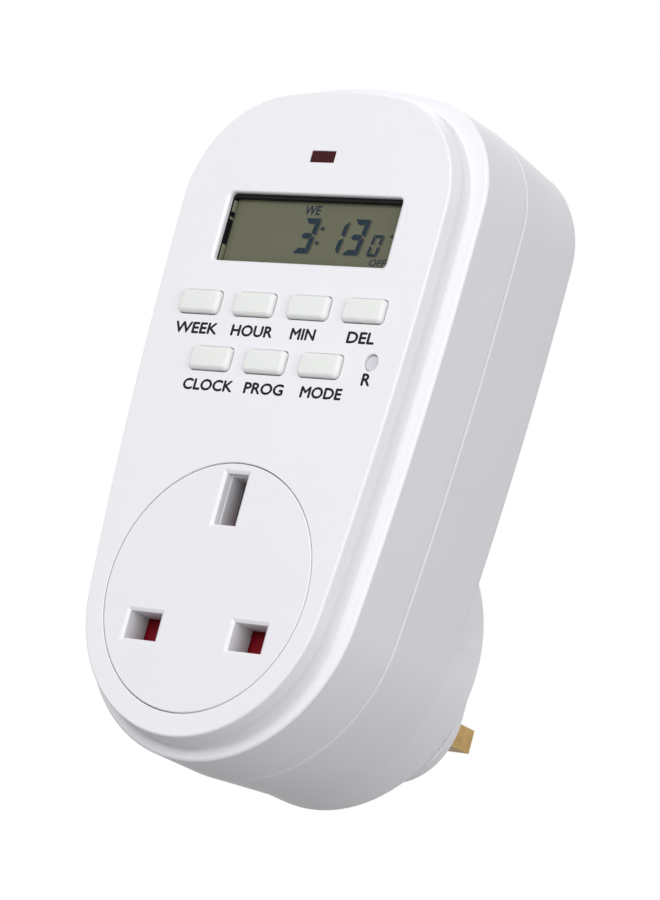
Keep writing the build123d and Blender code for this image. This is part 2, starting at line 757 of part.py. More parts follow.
for name, x in (("live", line_x), ("neutral", -line_x)):
    with BuildPart() as line_pin:
        # bevelled blade, slimmer neck under the sleeve, and a head inside the base
        slab(block(line_pin_length, line_pin_width, line_pin_height, x), line_pin_length - sleeve_length)
        chamfer(line_pin.edges().group_by(Axis.Y)[-1], pin_tip_bevel)
        slab(block(sleeve_length, neck_width, neck_height, x), sleeve_length + base_wall)
        head_width = line_pin_width + 2 * pin_head_margin
        head_height = line_pin_height + 2 * pin_head_margin
        slab(block(base_inner_y, head_width, head_height, x), pin_head_thickness)
    export(line_pin, f"pin_{name}")

    with BuildPart() as sleeve:
        slab(block(sleeve_length, line_pin_width, line_pin_height, x), sleeve_length + base_wall)
        slab(block(sleeve_length, neck_width, neck_height, x), sleeve_length + base_wall, Mode.SUBTRACT)
    export(sleeve, f"sleeve_{name}")

with BuildPart() as pin_earth:
    blade = block(earth_pin_length, earth_pin_width, earth_pin_height, 0, earth_z)
    slab(blade, earth_pin_length + base_wall)
    chamfer(pin_earth.edges().group_by(Axis.Y)[-1], pin_tip_bevel)
    head_width = earth_pin_width + 2 * pin_head_margin
    head_height = earth_pin_height + 2 * pin_head_margin
    slab(block(base_inner_y, head_width, head_height, 0, earth_z), pin_head_thickness)

# ================================================================ busbars
bar_back_y = block_back_y + strip_thickness / 2  # bars that lie on the back of the contact block
bar_head_y = head_back_y - strip_thickness / 2  # bars that lie on the pin heads
bar_board_y = power_back_y + strip_thickness / 2  # bars that lie on the back of the power board
bar_board_front_y = power_front_y - strip_thickness / 2
riser_side = line_x + strip_width / 2
riser_top = boss_centre_z + sqrt((boss_radius - wall) ** 2 - riser_side**2)
riser_z = riser_top - riser_wall_gap - strip_thickness / 2  # where a bar leaves the boss for the power board
landing_z = power_board_bottom + strip_landing
clip_half = clip_back_gap / 2

with BuildPart() as busbar_live_in:
    route = [
        (bar_head_y, -line_pin_height / 2),
        (bar_head_y, riser_z),
        (bar_board_y, riser_z),
        (bar_board_y, landing_z),
    ]
    bent_strip(line_x, route, strip_width, strip_thickness, strip_bend)

with BuildPart() as busbar_live_out:
    route = [
        (bar_back_y, -clip_half),
        (bar_back_y, power_board_bottom - bar_board_front_y + bar_back_y),
        (bar_board_front_y, power_board_bottom),
        (bar_board_front_y, landing_z),
    ]
    bent_strip(line_x, route, strip_width, strip_thickness, strip_bend)

with BuildPart() as busbar_neutral:
    link_z = -line_pin_height / 2 - strip_bend
    route = [
        (bar_back_y, clip_half),
        (bar_back_y, link_z),
        (bar_head_y, link_z),
        (bar_head_y, riser_z),
        (bar_board_y, riser_z),
        (bar_board_y, landing_z),
    ]
    bent_strip(-line_x, route, strip_width, strip_thickness, strip_bend)

with BuildPart() as busbar_earth:
    tab_z = earth_z + earth_slot_height / 2 + shutter_gap
    over_z = boss_centre_z + boss_radius - wall - strip_thickness
    route = [(bar_back_y, tab_z), (bar_back_y, over_z), (bar_head_y, over_z), (bar_head_y, earth_z)]
    bent_strip(0, route, strip_width, strip_thickness, strip_bend)

# ================================================================ mains board
with BuildPart() as power_board:
    board_height = power_board_top - power_board_bottom
    board_z = (power_board_top + power_board_bottom) / 2
    slab(block(power_back_y, 2 * power_board_half_width, board_height, 0, board_z), board_thickness)
    fillet(power_board.edges().filter_by(Axis.Y).group_by(Axis.Z)[-1], power_board_corner)
    for x, z in power_screw_spots:
        pilot(power_back_y, small_screw_radius, x, z, board_thickness)

with BuildPart() as relay:
    slab(block(power_front_y, relay_width, relay_height, relay_x, relay_z), relay_depth)
    chamfer(relay.faces().sort_by(Axis.Y)[0].edges(), component_edge)

with BuildPart() as film_capacitor:
    slab(block(power_front_y, film_width, film_height, film_x, film_z), film_depth)
    chamfer(film_capacitor.faces().sort_by(Axis.Y)[0].edges(), component_edge)

with BuildPart() as smoothing_capacitor:
    slab(disc(power_front_y, smoothing_radius, smoothing_x, smoothing_z), smoothing_length)
    chamfer(smoothing_capacitor.edges().group_by(Axis.Y)[0], component_edge)

with BuildPart() as varistor:
    # upright disc on two leads
    with BuildSketch(Plane.XY.offset(varistor_z - varistor_thickness / 2)):
        with Locations((varistor_x, power_front_y - lead_length - varistor_radius)):
            Circle(varistor_radius)
    extrude(amount=varistor_thickness)
    for side in (-1, 1):
        lead = block(power_front_y, lead_size, lead_size, varistor_x + side * lead_pitch / 2, varistor_z)
        slab(lead, lead_length + varistor_radius)

# ================================================================ control board
with BuildPart() as display_board:
    board_height = display_board_top - display_board_bottom
    board_z = (display_board_top + display_board_bottom) / 2
    slab(block(display_back_y, 2 * display_board_half_width, board_height, 0, board_z), board_thickness)
    fillet(display_board.edges().filter_by(Axis.Y).group_by(Axis.Z)[-1], display_board_corner)
    for x, z in board_screw_spots:
        pilot(display_back_y, small_screw_radius, x, z, board_thickness)

with BuildPart() as processor:
    # black resin drop over the chip
    drop = disc(display_back_y + processor_height, processor_radius, processor_x, processor_z)
    slab(drop, processor_height)
    chamfer(processor.edges().group_by(Axis.Y)[-1], component_edge)

with BuildPart() as backup_cell:
    slab(disc(display_back_y + cell_thickness, cell_radius, cell_x, cell_z), cell_thickness)
    chamfer(backup_cell.edges().group_by(Axis.Y)[-1], component_edge)

with BuildPart() as crystal:
    with BuildSketch(Plane.XY.offset(crystal_z)):
        with Locations((crystal_x, display_back_y + crystal_radius)):
            Circle(crystal_radius)
    extrude(amount=crystal_length)

with BuildPart() as board_link:
    # pins in a row, held in a bar at each board
    with BuildSketch(facing_front(power_front_y)) as pin_row:
        with Locations((0, board_link_z)):
            with GridLocations(link_pitch, 1, link_pins, 1):
                Rectangle(link_pin_size, link_pin_size)
    extrude(amount=power_front_y - display_back_y)
    bar = block(power_front_y, link_pins * link_pitch, link_bar_size, 0, board_link_z)
    slab(bar, link_bar_size)
    bar = block(display_back_y + link_bar_size, link_pins * link_pitch, link_bar_size, 0, board_link_z)
    slab(bar, link_bar_size)

# ================================================================ display, lamp and key mat
glass_width = window_width + 2 * glass_margin_x
glass_height = window_height + 2 * glass_margin_z

with BuildPart() as lcd_panel:
    slab(block(glass_back_y, glass_width, glass_height, window_x, window_z), glass_thickness)

with BuildPart() as lcd_frame:
    # black gasket between the thinned wall and the glass, open as wide as the window
    frame_depth = glass_y - face_y - window_lip
    slab(block(glass_y, glass_width, glass_height, window_x, window_z), frame_depth)
    slab(block(glass_y, *window), frame_depth, Mode.SUBTRACT)

with BuildPart() as lcd_holder:
    # tray that clamps the glass to its frame and stands on the board
    outer_width = glass_width + 2 * holder_wall
    outer_height = glass_height + 2 * holder_wall
    holder_y = face_back_y + key_flange_gap
    slab(block(display_front_y, outer_width, outer_height, window_x, window_z), display_front_y - holder_y)
    glass_room = block(glass_back_y, glass_width, glass_height, window_x, window_z)
    slab(glass_room, glass_back_y - holder_y, Mode.SUBTRACT)
    strip_room = block(
        display_front_y, zebra_width + 2 * zebra_gap, zebra_depth + 2 * zebra_gap, window_x, zebra_z
    )
    slab(strip_room, display_front_y - glass_back_y, Mode.SUBTRACT)
    hollow_low = zebra_z + zebra_depth / 2 + zebra_gap + holder_wall
    hollow_high = window_z + glass_height / 2 - holder_wall
    hollow = block(
        display_front_y,
        glass_width - 2 * holder_wall,
        hollow_high - hollow_low,
        window_x,
        (hollow_high + hollow_low) / 2,
    )
    slab(hollow, display_front_y - glass_back_y - holder_wall, Mode.SUBTRACT)

with BuildPart() as zebra_strip:
    rubber = block(display_front_y, zebra_width, zebra_depth, window_x, zebra_z)
    slab(rubber, display_front_y - glass_back_y)

with BuildPart() as led_lens:
    lens_back_y = face_back_y + lamp_flange_thickness
    lens = block(lens_back_y, lamp_width - 2 * lamp_gap, lamp_height - 2 * lamp_gap, lamp_x, lamp_z)
    slab(lens, lens_back_y - face_y - lamp_recess)
    flange_width = lamp_width + 2 * lamp_flange
    flange_height = lamp_height + 2 * lamp_flange
    lens_flange = block(lens_back_y, flange_width, flange_height, lamp_x, lamp_z)
    slab(lens_flange, lamp_flange_thickness)

with BuildPart() as led:
    slab(block(display_front_y, led_width, led_height, lamp_x, lamp_z), display_front_y - lens_back_y)
    chamfer(led.edges().filter_by(Axis.Y), component_edge)

with BuildPart() as key_mat:
    mat_z = (mat_bottom + mat_top) / 2
    mat_outline = block(display_front_y, 2 * mat_half_width, mat_top - mat_bottom, 0, mat_z, mat_corner)
    slab(mat_outline, mat_thickness)
    for x, z in (*key_spots.values(), (reset_x, reset_z)):
        slab(block(mat_y, dome_size, dome_size, x, z), dome_height)
    chamfer(key_mat.edges().group_by(Axis.Y)[0], dome_edge)

# ================================================================ keys
for name, (x, z) in key_spots.items():
    with BuildPart() as key:
        # cap through the face, flange behind it, stem over the dome
        slab(block(key_flange_y, key_width, key_height, x, z, key_corner), key_flange_y - face_y + key_rise)
        chamfer(key.edges().group_by(Axis.Y)[0], key_edge)
        key_back_y = key_flange_y + key_flange_thickness
        flange_width = key_width + 2 * key_flange
        flange_height = key_height + 2 * key_flange
        slab(block(key_back_y, flange_width, flange_height, x, z), key_flange_thickness)
        stem_y = dome_y - dome_clearance - key_travel
        slab(block(stem_y, key_stem_width, key_stem_height, x, z), stem_y - key_back_y)
    export(key, name)

with BuildPart() as reset_button:
    cap_radius = reset_hole_radius - reset_gap
    slab(disc(key_flange_y, cap_radius, reset_x, reset_z), key_flange_y - face_y - reset_recess)
    chamfer(reset_button.edges().group_by(Axis.Y)[0], reset_gap)
    button_back_y = key_flange_y + key_flange_thickness
    flange_size = 2 * (cap_radius + reset_flange)
    slab(block(button_back_y, flange_size, flange_size, reset_x, reset_z), key_flange_thickness)
    stem_y = dome_y - dome_clearance - reset_travel
    slab(block(stem_y, reset_stem_size, reset_stem_size, reset_x, reset_z), stem_y - button_back_y)

# ================================================================ fasteners
with BuildPart() as housing_screws:
    for x, z, seat in housing_screw_spots:
        screw(seat, x, z, screw_radius, screw_length, screw_head_radius, screw_head_height)

with BuildPart() as insert_screws:
    seat = block_front_y + insert_screw_seat
    for side in (-1, 1):
        small_screw(seat, side * insert_screw_x, insert_screw_z, insert_screw_length)

with BuildPart() as board_screws:
    for x, z in board_screw_spots:
        small_screw(display_back_y, x, z, small_screw_length)

with BuildPart() as power_board_screws:
    # driven from the front of the board into the standoffs
    for x, z in power_screw_spots:
        tip_y = back_inner_y - pilot_spare
        slab(screw_round(tip_y, small_screw_radius, x, z), tip_y - power_front_y)
        slab(screw_round(power_front_y, small_head_radius, x, z), small_head_height)

# ================================================================ files
finished = {
    "front_shell": front_shell,
    "rear_shell": rear_shell,
    "socket_insert": socket_insert,
    "shutter": shutter,
    "shutter_spring": shutter_spring,
    "contact_block": contact_block,
    "contact_live": contact_live,
    "contact_neutral": contact_neutral,
    "contact_earth": contact_earth,
    "pin_earth": pin_earth,
    "busbar_live_in": busbar_live_in,
    "busbar_live_out": busbar_live_out,
    "busbar_neutral": busbar_neutral,
    "busbar_earth": busbar_earth,
    "power_board": power_board,
    "relay": relay,
    "film_capacitor": film_capacitor,
    "smoothing_capacitor": smoothing_capacitor,
    "varistor": varistor,
    "display_board": display_board,
    "processor": processor,
    "backup_cell": backup_cell,
    "crystal": crystal,
    "board_link": board_link,
    "lcd_panel": lcd_panel,
    "lcd_frame": lcd_frame,
    "lcd_holder": lcd_holder,
    "zebra_strip": zebra_strip,
    "led_lens": led_lens,
    "led": led,
    "key_mat": key_mat,
    "reset_button": reset_button,
    "housing_screws": housing_screws,
    "insert_screws": insert_screws,
    "board_screws": board_screws,
    "power_board_screws": power_board_screws,
}
for name, builder in finished.items():
    export(builder, name)
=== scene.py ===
"""Dressed model of a plug-in timer switch, built round its fixed frame of moulded and stamped parts.

The frame's solids already have the object's form. This script rounds the edges of the mouldings that are
seen, crowns the keys, gives every part its finish and adds what lies on or in those parts: printed key
legends, the display's picture and the recessed heads of the housing screws. All places are in the frame's
own axes: X across the width, Y from the front face to the plug base, Z along the height.
"""

from __future__ import annotations

import logging
import math
from collections.abc import Callable, Iterable, Mapping, Sequence
from dataclasses import dataclass, field
from enum import Enum
from typing import Any

import bpy
from mathutils import Euler, Matrix, Vector


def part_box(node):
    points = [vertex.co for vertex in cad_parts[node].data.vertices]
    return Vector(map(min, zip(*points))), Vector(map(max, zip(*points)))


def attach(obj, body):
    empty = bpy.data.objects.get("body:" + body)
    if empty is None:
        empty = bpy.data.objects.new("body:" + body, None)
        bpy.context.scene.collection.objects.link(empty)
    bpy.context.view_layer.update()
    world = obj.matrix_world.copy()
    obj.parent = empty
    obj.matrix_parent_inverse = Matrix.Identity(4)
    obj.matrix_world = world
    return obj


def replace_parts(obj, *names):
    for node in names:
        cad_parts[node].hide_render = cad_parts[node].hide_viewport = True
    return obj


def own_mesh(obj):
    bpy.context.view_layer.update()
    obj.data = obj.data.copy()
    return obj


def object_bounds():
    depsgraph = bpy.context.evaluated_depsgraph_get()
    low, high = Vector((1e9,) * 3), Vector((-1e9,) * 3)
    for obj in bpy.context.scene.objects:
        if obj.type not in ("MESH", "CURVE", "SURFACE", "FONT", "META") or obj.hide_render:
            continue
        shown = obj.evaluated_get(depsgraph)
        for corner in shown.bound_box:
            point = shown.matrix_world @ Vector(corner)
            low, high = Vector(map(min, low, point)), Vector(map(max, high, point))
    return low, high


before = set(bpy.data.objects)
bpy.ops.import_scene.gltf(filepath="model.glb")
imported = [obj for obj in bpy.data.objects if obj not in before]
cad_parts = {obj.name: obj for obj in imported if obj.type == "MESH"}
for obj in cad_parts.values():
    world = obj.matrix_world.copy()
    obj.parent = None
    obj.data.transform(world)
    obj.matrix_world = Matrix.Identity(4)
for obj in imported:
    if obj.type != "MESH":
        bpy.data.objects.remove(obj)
CAD_LOW, CAD_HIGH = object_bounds()
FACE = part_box("front_shell")[0].y  # plane of the raised face

log = logging.getLogger("timer_switch")
MM = 0.001  # metres in a millimetre
MERGE = 0.0005 * MM  # corners nearer than this are one corner
NEAR = 0.01 * MM  # points nearer than this to a plane lie in it
FLAT_ANGLE = 0.4  # degrees between faces that are one flat face
EDGE_ANGLE = 25.0  # degrees that an edge turns by, from which it is rounded
FACE_WEIGHT = 100  # how far large faces lead the shading of their edges
LETTER_CURVE = 3  # points along each curve of a raw letter
LETTER_BODY = 0.05  # half the thickness of raw lettering, in its own units
LETTER_MERGE = 1e-5  # corners of raw lettering nearer than this are one corner
Colour = tuple[float, float, float]


class Body(Enum):
    """Rigid bodies of the frame that new pieces ride on."""

    HOUSING = "housing"
    KEY_WEEK = "key_week"
    KEY_HOUR = "key_hour"
    KEY_MIN = "key_min"
    KEY_DEL = "key_del"
    KEY_CLOCK = "key_clock"
    KEY_PROG = "key_prog"
    KEY_MODE = "key_mode"
    RESET_BUTTON = "reset_button"


# ------------------------------------------------------------------ shader maths and nodes
class Signal:
    """Number that varies over a surface; arithmetic on it adds Math nodes."""

    def __init__(self, shop: NodeShop, socket: bpy.types.NodeSocket) -> None:
        """Wrap a socket.

        Args:
            shop: Node shop of the socket's tree.
            socket: Output socket that carries the number.
        """
        self.shop = shop
        self.socket = socket

    def _math(self, operation: str, *terms: Signal | float) -> Signal:
        """Result of one Math node on the terms."""
        node = self.shop.make("ShaderNodeMath", {"operation": operation}, dict(enumerate(terms)))
        return Signal(self.shop, node.outputs[0])

    def __add__(self, other: Signal | float) -> Signal:
        """Sum."""
        return self._math("ADD", self, other)

    __radd__ = __add__

    def __sub__(self, other: Signal | float) -> Signal:
        """Difference."""
        return self._math("SUBTRACT", self, other)

    def __rsub__(self, other: float) -> Signal:
        """Difference with the number on the left."""
        return self._math("SUBTRACT", other, self)

    def __mul__(self, other: Signal | float) -> Signal:
        """Product."""
        return self._math("MULTIPLY", self, other)

    __rmul__ = __mul__

    def sine(self) -> Signal:
        """Sine of the number, in radians."""
        return self._math("SINE", self)

    def at_least(self, other: Signal | float) -> Signal:
        """Larger of the two."""
        return self._math("MAXIMUM", self, other)


class NodeShop:
    """Makes and links the nodes of one tree."""

    def __init__(self, tree: bpy.types.NodeTree) -> None:
        """Take over a tree with the nodes that it starts with."""
        self.tree = tree

    def make(
        self, kind: str, settings: Mapping[str, Any] | None = None, inputs: Mapping[Any, Any] | None = None
    ) -> bpy.types.Node:
        """Add a node, set it up and feed its inputs.

        Args:
            kind: Blender's type name of the node.
            settings: Properties to set first.
            inputs: Values, Signals or sockets by input name or index.

        Returns:
            The new node.
        """
        node = self.tree.nodes.new(kind)
        for key, value in (settings or {}).items():
            setattr(node, key, value)
        for key, value in (inputs or {}).items():
            self.feed(node.inputs[key], value)
        return node

    def feed(self, socket: bpy.types.NodeSocket, value: Any) -> None:
        """Link or set one input socket.

        Args:
            socket: Input socket.
            value: Signal or output socket to link, or a value to set; a colour needs no alpha.
        """
        if isinstance(value, Signal):
            self.tree.links.new(value.socket, socket)
        elif isinstance(value, bpy.types.NodeSocket):
            self.tree.links.new(value, socket)
        elif socket.type == "RGBA":
            socket.default_value = (*value, 1.0)
        else:
            socket.default_value = value

    def seen(self) -> Signal:
        """Tell rays that see from rays that carry light.

        Returns:
            One for rays from the camera, a mirror or glass, and zero for the others.
        """
        rays = self.make("ShaderNodeLightPath")
        share = Signal(self, rays.outputs["Is Camera Ray"])
        for kind in ("Is Glossy Ray", "Is Transmission Ray"):
            share = share.at_least(Signal(self, rays.outputs[kind]))
        return share


class MaterialShop(NodeShop):
    """Makes one material round its Principled shader."""

    def __init__(self, name: str) -> None:
        """Start a material that has only its output and the shader.

        Args:
            name: Name of the material.
        """
        self.material = bpy.data.materials.new(name)
        self.material.use_nodes = True
        super().__init__(self.material.node_tree)
        self.shader = self.tree.nodes["Principled BSDF"]

    def place(self, stretch: Sequence[float] = (1.0, 1.0, 1.0)) -> bpy.types.NodeSocket:
        """Object coordinates, in metres, stretched along the axes."""
        inputs = {"Vector": self.make("ShaderNodeTexCoord").outputs["Object"], "Scale": stretch}
        return self.make("ShaderNodeMapping", None, inputs).outputs["Vector"]

    def axis(self, name: str, stretch: Sequence[float] = (1.0, 1.0, 1.0)) -> Signal:
        """One of the stretched object coordinates."""
        axes = self.make("ShaderNodeSeparateXYZ", None, {0: self.place(stretch)})
        return Signal(self, axes.outputs[name])

    def noise(self, grain: float, detail: float = 2.0, stretch: Sequence[float] = (1.0, 1.0, 1.0)) -> Signal:
        """Noise whose features are about one grain wide.

        Args:
            grain: Feature size in metres.
            detail: Octaves of finer noise.
            stretch: Scale along each axis.

        Returns:
            The noise, from zero to one.
        """
        inputs = {"Vector": self.place(stretch), "Scale": 1.0 / grain, "Detail": detail}
        return Signal(self, self.make("ShaderNodeTexNoise", None, inputs).outputs[0])

    def blend(
        self, share: Signal, first: Colour | bpy.types.NodeSocket, second: Colour | bpy.types.NodeSocket
    ) -> bpy.types.NodeSocket:
        """Colour that goes from the first to the second as the share goes from zero to one."""
        return self.make("ShaderNodeMix", {"data_type": "RGBA"}, {0: share, 6: first, 7: second}).outputs[2]

    def bump(self, height: Signal, depth: float) -> None:
        """Raise the surface by a height signal times a depth in metres."""
        node = self.make("ShaderNodeBump", None, {"Height": height, "Distance": depth, "Strength": 1.0})
        self.feed(self.shader.inputs["Normal"], node.outputs["Normal"])

    def set(self, **values: Any) -> None:
        """Set the Principled shader's sockets; an underscore stands for a space."""
        for key, value in values.items():
            self.feed(self.shader.inputs[key.replace("_", " ")], value)


def shaded(colour: Colour, factor: float) -> Colour:
    """Colour made lighter or darker by a factor."""
    return tuple(min(1.0, part * factor) for part in colour)


# ------------------------------------------------------------------ finishes
@dataclass(frozen=True)
class Finish:
    """Surface of one material; each kind sets its own shader up in paint."""

    name: str
    colour: Colour

    def paint(self, shop: MaterialShop) -> None:
        """Set the shader up.

        Args:
            shop: The new material's node shop.
        """
        raise NotImplementedError

    def material(self) -> bpy.types.Material:
        """Build the material.

        Returns:
            The material.
        """
        shop = MaterialShop(self.name)
        self.paint(shop)
        return shop.material


@dataclass(frozen=True)
class MouldedPlastic(Finish):
    """Injection-moulded plastic with a fine spark-eroded grain and faint flow mottling."""

    roughness: float = 0.42
    grain: float = 0.35 * MM
    relief: float = 0.004 * MM
    grain_sheen: float = 0.10  # how much the grain changes the roughness
    flow: float = 9 * MM  # size of the mottling
    mottling: float = 0.012
    flow_sheen: float = 0.05
    coat: float = 0.0
    coat_roughness: float = 0.12
    gloss: float = 0.5
    # Painted shade in a moulding's slots: the planes of Y between which their walls darken, and the tone that
    # is left.
    painted_slot_shade: tuple[float, float, float] | None = None

    def paint(self, shop: MaterialShop) -> None:
        """Set the shader up.

        Args:
            shop: The new material's node shop.
        """
        flow = shop.noise(self.flow, 3.0)
        fine = shop.noise(self.grain, 2.0)
        dark, light = shaded(self.colour, 1 - self.mottling), shaded(self.colour, 1 + self.mottling)
        tone = shop.blend(flow, dark, light)
        # Painted shade: the slot walls grow darker from one plane of Y to the next.
        if self.painted_slot_shade:
            start, end, left = self.painted_slot_shade
            planes = {"Value": shop.axis("Y"), "From Min": start, "From Max": end}
            depth = shop.make("ShaderNodeMapRange", None, planes)
            tone = shop.blend(Signal(shop, depth.outputs[0]), tone, shaded(self.colour, left))
        shop.set(Base_Color=tone)
        shop.set(Roughness=self.roughness + (fine - 0.5) * self.grain_sheen + (flow - 0.5) * self.flow_sheen)
        shop.set(IOR=1.5, Specular_IOR_Level=self.gloss)
        shop.set(Coat_Weight=self.coat, Coat_Roughness=self.coat_roughness)
        shop.bump(fine, self.relief)


@dataclass(frozen=True)
class DrawnBrass(Finish):
    """Solid brass with fine drawing lines along the pins and slight tarnish."""

    roughness: float = 0.26
    line: float = 0.12 * MM
    line_stretch: float = 0.04  # the lines run along Y
    line_relief: float = 0.003 * MM
    line_sheen: float = 0.16
    spot: float = 4 * MM  # size of the tarnished spots
    spot_start: float = 0.45  # noise over which the metal is tarnished
    spot_strength: float = 2.2
    spot_tone: float = 0.62
    spot_sheen: float = 0.10

    def paint(self, shop: MaterialShop) -> None:
        """Set the shader up.

        Args:
            shop: The new material's node shop.
        """
        lines = shop.noise(self.line, 3.0, (1.0, self.line_stretch, 1.0))
        tarnish = shop.noise(self.spot, 4.0)
        spotted = (tarnish - self.spot_start) * self.spot_strength
        tarnished = shaded(self.colour, self.spot_tone)
        shop.set(Base_Color=shop.blend(spotted.at_least(0.0), self.colour, tarnished))
        shop.set(Metallic=1.0, Roughness=self.roughness + lines * self.line_sheen + tarnish * self.spot_sheen)
        shop.bump(lines, self.line_relief)


@dataclass(frozen=True)
class Plated(Finish):
    """Plated or bare steel with fine machining marks."""

    roughness: float = 0.3
    mark: float = 0.2 * MM
    mark_relief: float = 0.002 * MM
    mark_sheen: float = 0.15
    cloud: float = 3 * MM
    cloud_tone: float = 0.88

    def paint(self, shop: MaterialShop) -> None:
        """Set the shader up.

        Args:
            shop: The new material's node shop.
        """
        marks = shop.noise(self.mark, 3.0)
        cloud = shop.noise(self.cloud, 2.0)
        shop.set(Base_Color=shop.blend(cloud, shaded(self.colour, self.cloud_tone), self.colour))
        shop.set(Metallic=1.0, Roughness=self.roughness + marks * self.mark_sheen)
        shop.bump(marks, self.mark_relief)


@dataclass(frozen=True)
class DisplayGlass(Finish):
    """Reflective display: smooth glass over an olive polariser with an even, faintly clouded tone."""

    low_colour: Colour
    cloud: float = 7 * MM
    roughness: float = 0.16
    cloud_sheen: float = 0.04
    gloss: float = 0.22

    def paint(self, shop: MaterialShop) -> None:
        """Set the shader up.

        Args:
            shop: The new material's node shop.
        """
        cloud = shop.noise(self.cloud, 2.0)
        shop.set(Base_Color=shop.blend(cloud, self.low_colour, self.colour))
        shop.set(Roughness=self.roughness + cloud * self.cloud_sheen, Specular_IOR_Level=self.gloss)


@dataclass(frozen=True)
class Ink(Finish):
    """Thin pad-printed or liquid-crystal ink."""

    roughness: float = 0.55
    speckle: float = 0.15 * MM
    speckle_tone: float = 0.15
    speckle_sheen: float = 0.08
    gloss: float = 0.15

    def paint(self, shop: MaterialShop) -> None:
        """Set the shader up.

        Args:
            shop: The new material's node shop.
        """
        speckle = shop.noise(self.speckle, 2.0)
        dark, light = (shaded(self.colour, 1 + side * self.speckle_tone) for side in (-1, 1))
        shop.set(Base_Color=shop.blend(speckle, dark, light))
        shop.set(Roughness=self.roughness + speckle * self.speckle_sheen, Specular_IOR_Level=self.gloss)


@dataclass(frozen=True)
class TintedLens(Finish):
    """Clear tinted moulding with the fine upright ribs of a diffuser."""

    lit_colour: Colour
    rib: float = 0.55 * MM
    rib_share: float = 0.2  # of the way to the lit colour
    rib_relief: float = 0.006 * MM
    rib_sheen: float = 0.06
    cloud: float = 1.2 * MM
    cloud_share: float = 0.6
    roughness: float = 0.24
    gloss: float = 0.12

    def paint(self, shop: MaterialShop) -> None:
        """Set the shader up.

        Args:
            shop: The new material's node shop.
        """
        wave = (shop.axis("X", (1 / self.rib, 1.0, 1.0)) * (2 * math.pi)).sine() * 0.5 + 0.5
        cloud = shop.noise(self.cloud, 2.0)
        share = wave * self.rib_share + cloud * self.cloud_share
        shop.set(Base_Color=shop.blend(share, self.colour, self.lit_colour))
        shop.set(Roughness=self.roughness + wave * self.rib_sheen, Specular_IOR_Level=self.gloss)
        shop.bump(wave, self.rib_relief)


@dataclass(frozen=True)
class Laminate(Finish):
    """Glass-fibre circuit board with its woven cloth showing through the lacquer."""

    thread: float = 0.5 * MM
    thread_stretch: float = 0.2
    thread_relief: float = 0.01 * MM
    low_tone: float = 0.8
    high_tone: float = 1.25
    roughness: float = 0.32
    thread_sheen: float = 0.12

    def paint(self, shop: MaterialShop) -> None:
        """Set the shader up.

        Args:
            shop: The new material's node shop.
        """
        warp = shop.noise(self.thread, 1.0, (1.0, 1.0, self.thread_stretch))
        weft = shop.noise(self.thread, 1.0, (self.thread_stretch, 1.0, 1.0))
        cloth = warp * 0.5 + weft * 0.5
        low, high = shaded(self.colour, self.low_tone), shaded(self.colour, self.high_tone)
        shop.set(Base_Color=shop.blend(cloth, low, high))
        shop.set(Roughness=self.roughness + cloth * self.thread_sheen)
        shop.bump(cloth, self.thread_relief)


CASING = MouldedPlastic("casing_white", (0.80, 0.80, 0.835))
# The outlet face's slot walls get painted shade that deepens inwards.
INSERT = MouldedPlastic(
    "insert_white", (0.79, 0.79, 0.82), roughness=0.45, painted_slot_shade=(FACE + 0.5 * MM, FACE + 6 * MM, 0.5)
)
KEY_WHITE = MouldedPlastic("key_white", (0.765, 0.78, 0.765), roughness=0.5, relief=0.002 * MM, gloss=0.35)
BUTTON_GREY = MouldedPlastic("button_grey", (0.60, 0.60, 0.64), roughness=0.5)
SHUTTER_RED = MouldedPlastic("shutter_red", (0.185, 0.003, 0.008), mottling=0.05, gloss=0.12)
SLEEVE_BLACK = MouldedPlastic("sleeve_black", (0.018, 0.018, 0.02), roughness=0.4, mottling=0.1)
BLACK = MouldedPlastic("black_plastic", (0.007, 0.007, 0.008), roughness=0.6, mottling=0.1, gloss=0.15)
NYLON = MouldedPlastic("natural_nylon", (0.70, 0.68, 0.62), roughness=0.5, mottling=0.03)
BLOCK_GREY = MouldedPlastic("block_grey", (0.40, 0.38, 0.41), roughness=0.55, mottling=0.03)
RELAY_BLUE = MouldedPlastic("relay_blue", (0.03, 0.10, 0.35), roughness=0.3, coat=0.3)
FILM_YELLOW = MouldedPlastic("film_yellow", (0.55, 0.36, 0.05), roughness=0.3, coat=0.3)
SLEEVE_SHRUNK = MouldedPlastic("shrunk_sleeve", (0.02, 0.02, 0.035), roughness=0.25, coat=0.4)
DIPPED_BLUE = MouldedPlastic("dipped_blue", (0.04, 0.12, 0.40), roughness=0.25, coat=0.4)
SILICONE = MouldedPlastic("mat_silicone", (0.35, 0.35, 0.37), roughness=0.7)
ZEBRA = MouldedPlastic("zebra_silicone", (0.30, 0.30, 0.32), roughness=0.6)
EPOXY_RED = MouldedPlastic("lamp_epoxy", (0.55, 0.04, 0.04), roughness=0.15, coat=0.5)
PIN_BRASS = DrawnBrass("pin_brass", (0.52, 0.35, 0.14))
CLIP_BRASS = DrawnBrass("clip_brass", (0.72, 0.52, 0.26), roughness=0.32)
SPRING_STEEL = Plated("spring_steel", (0.55, 0.55, 0.57))
SCREW_STEEL = Plated("screw_steel", (0.62, 0.60, 0.54), roughness=0.34)
BOARD_GREEN = Laminate("board_green", (0.03, 0.16, 0.07))
GLASS = DisplayGlass("display_glass", (0.126, 0.128, 0.083), (0.115, 0.117, 0.076))
SEGMENT_INK = Ink("segment_ink", (0.010, 0.024, 0.038), roughness=0.4)
# Painted shadow: the dark olive that each display bar casts on the reflector behind the glass.
BAR_SHADOW_PAINT = Ink("painted_segment_shadow", (0.066, 0.068, 0.046), roughness=0.4)
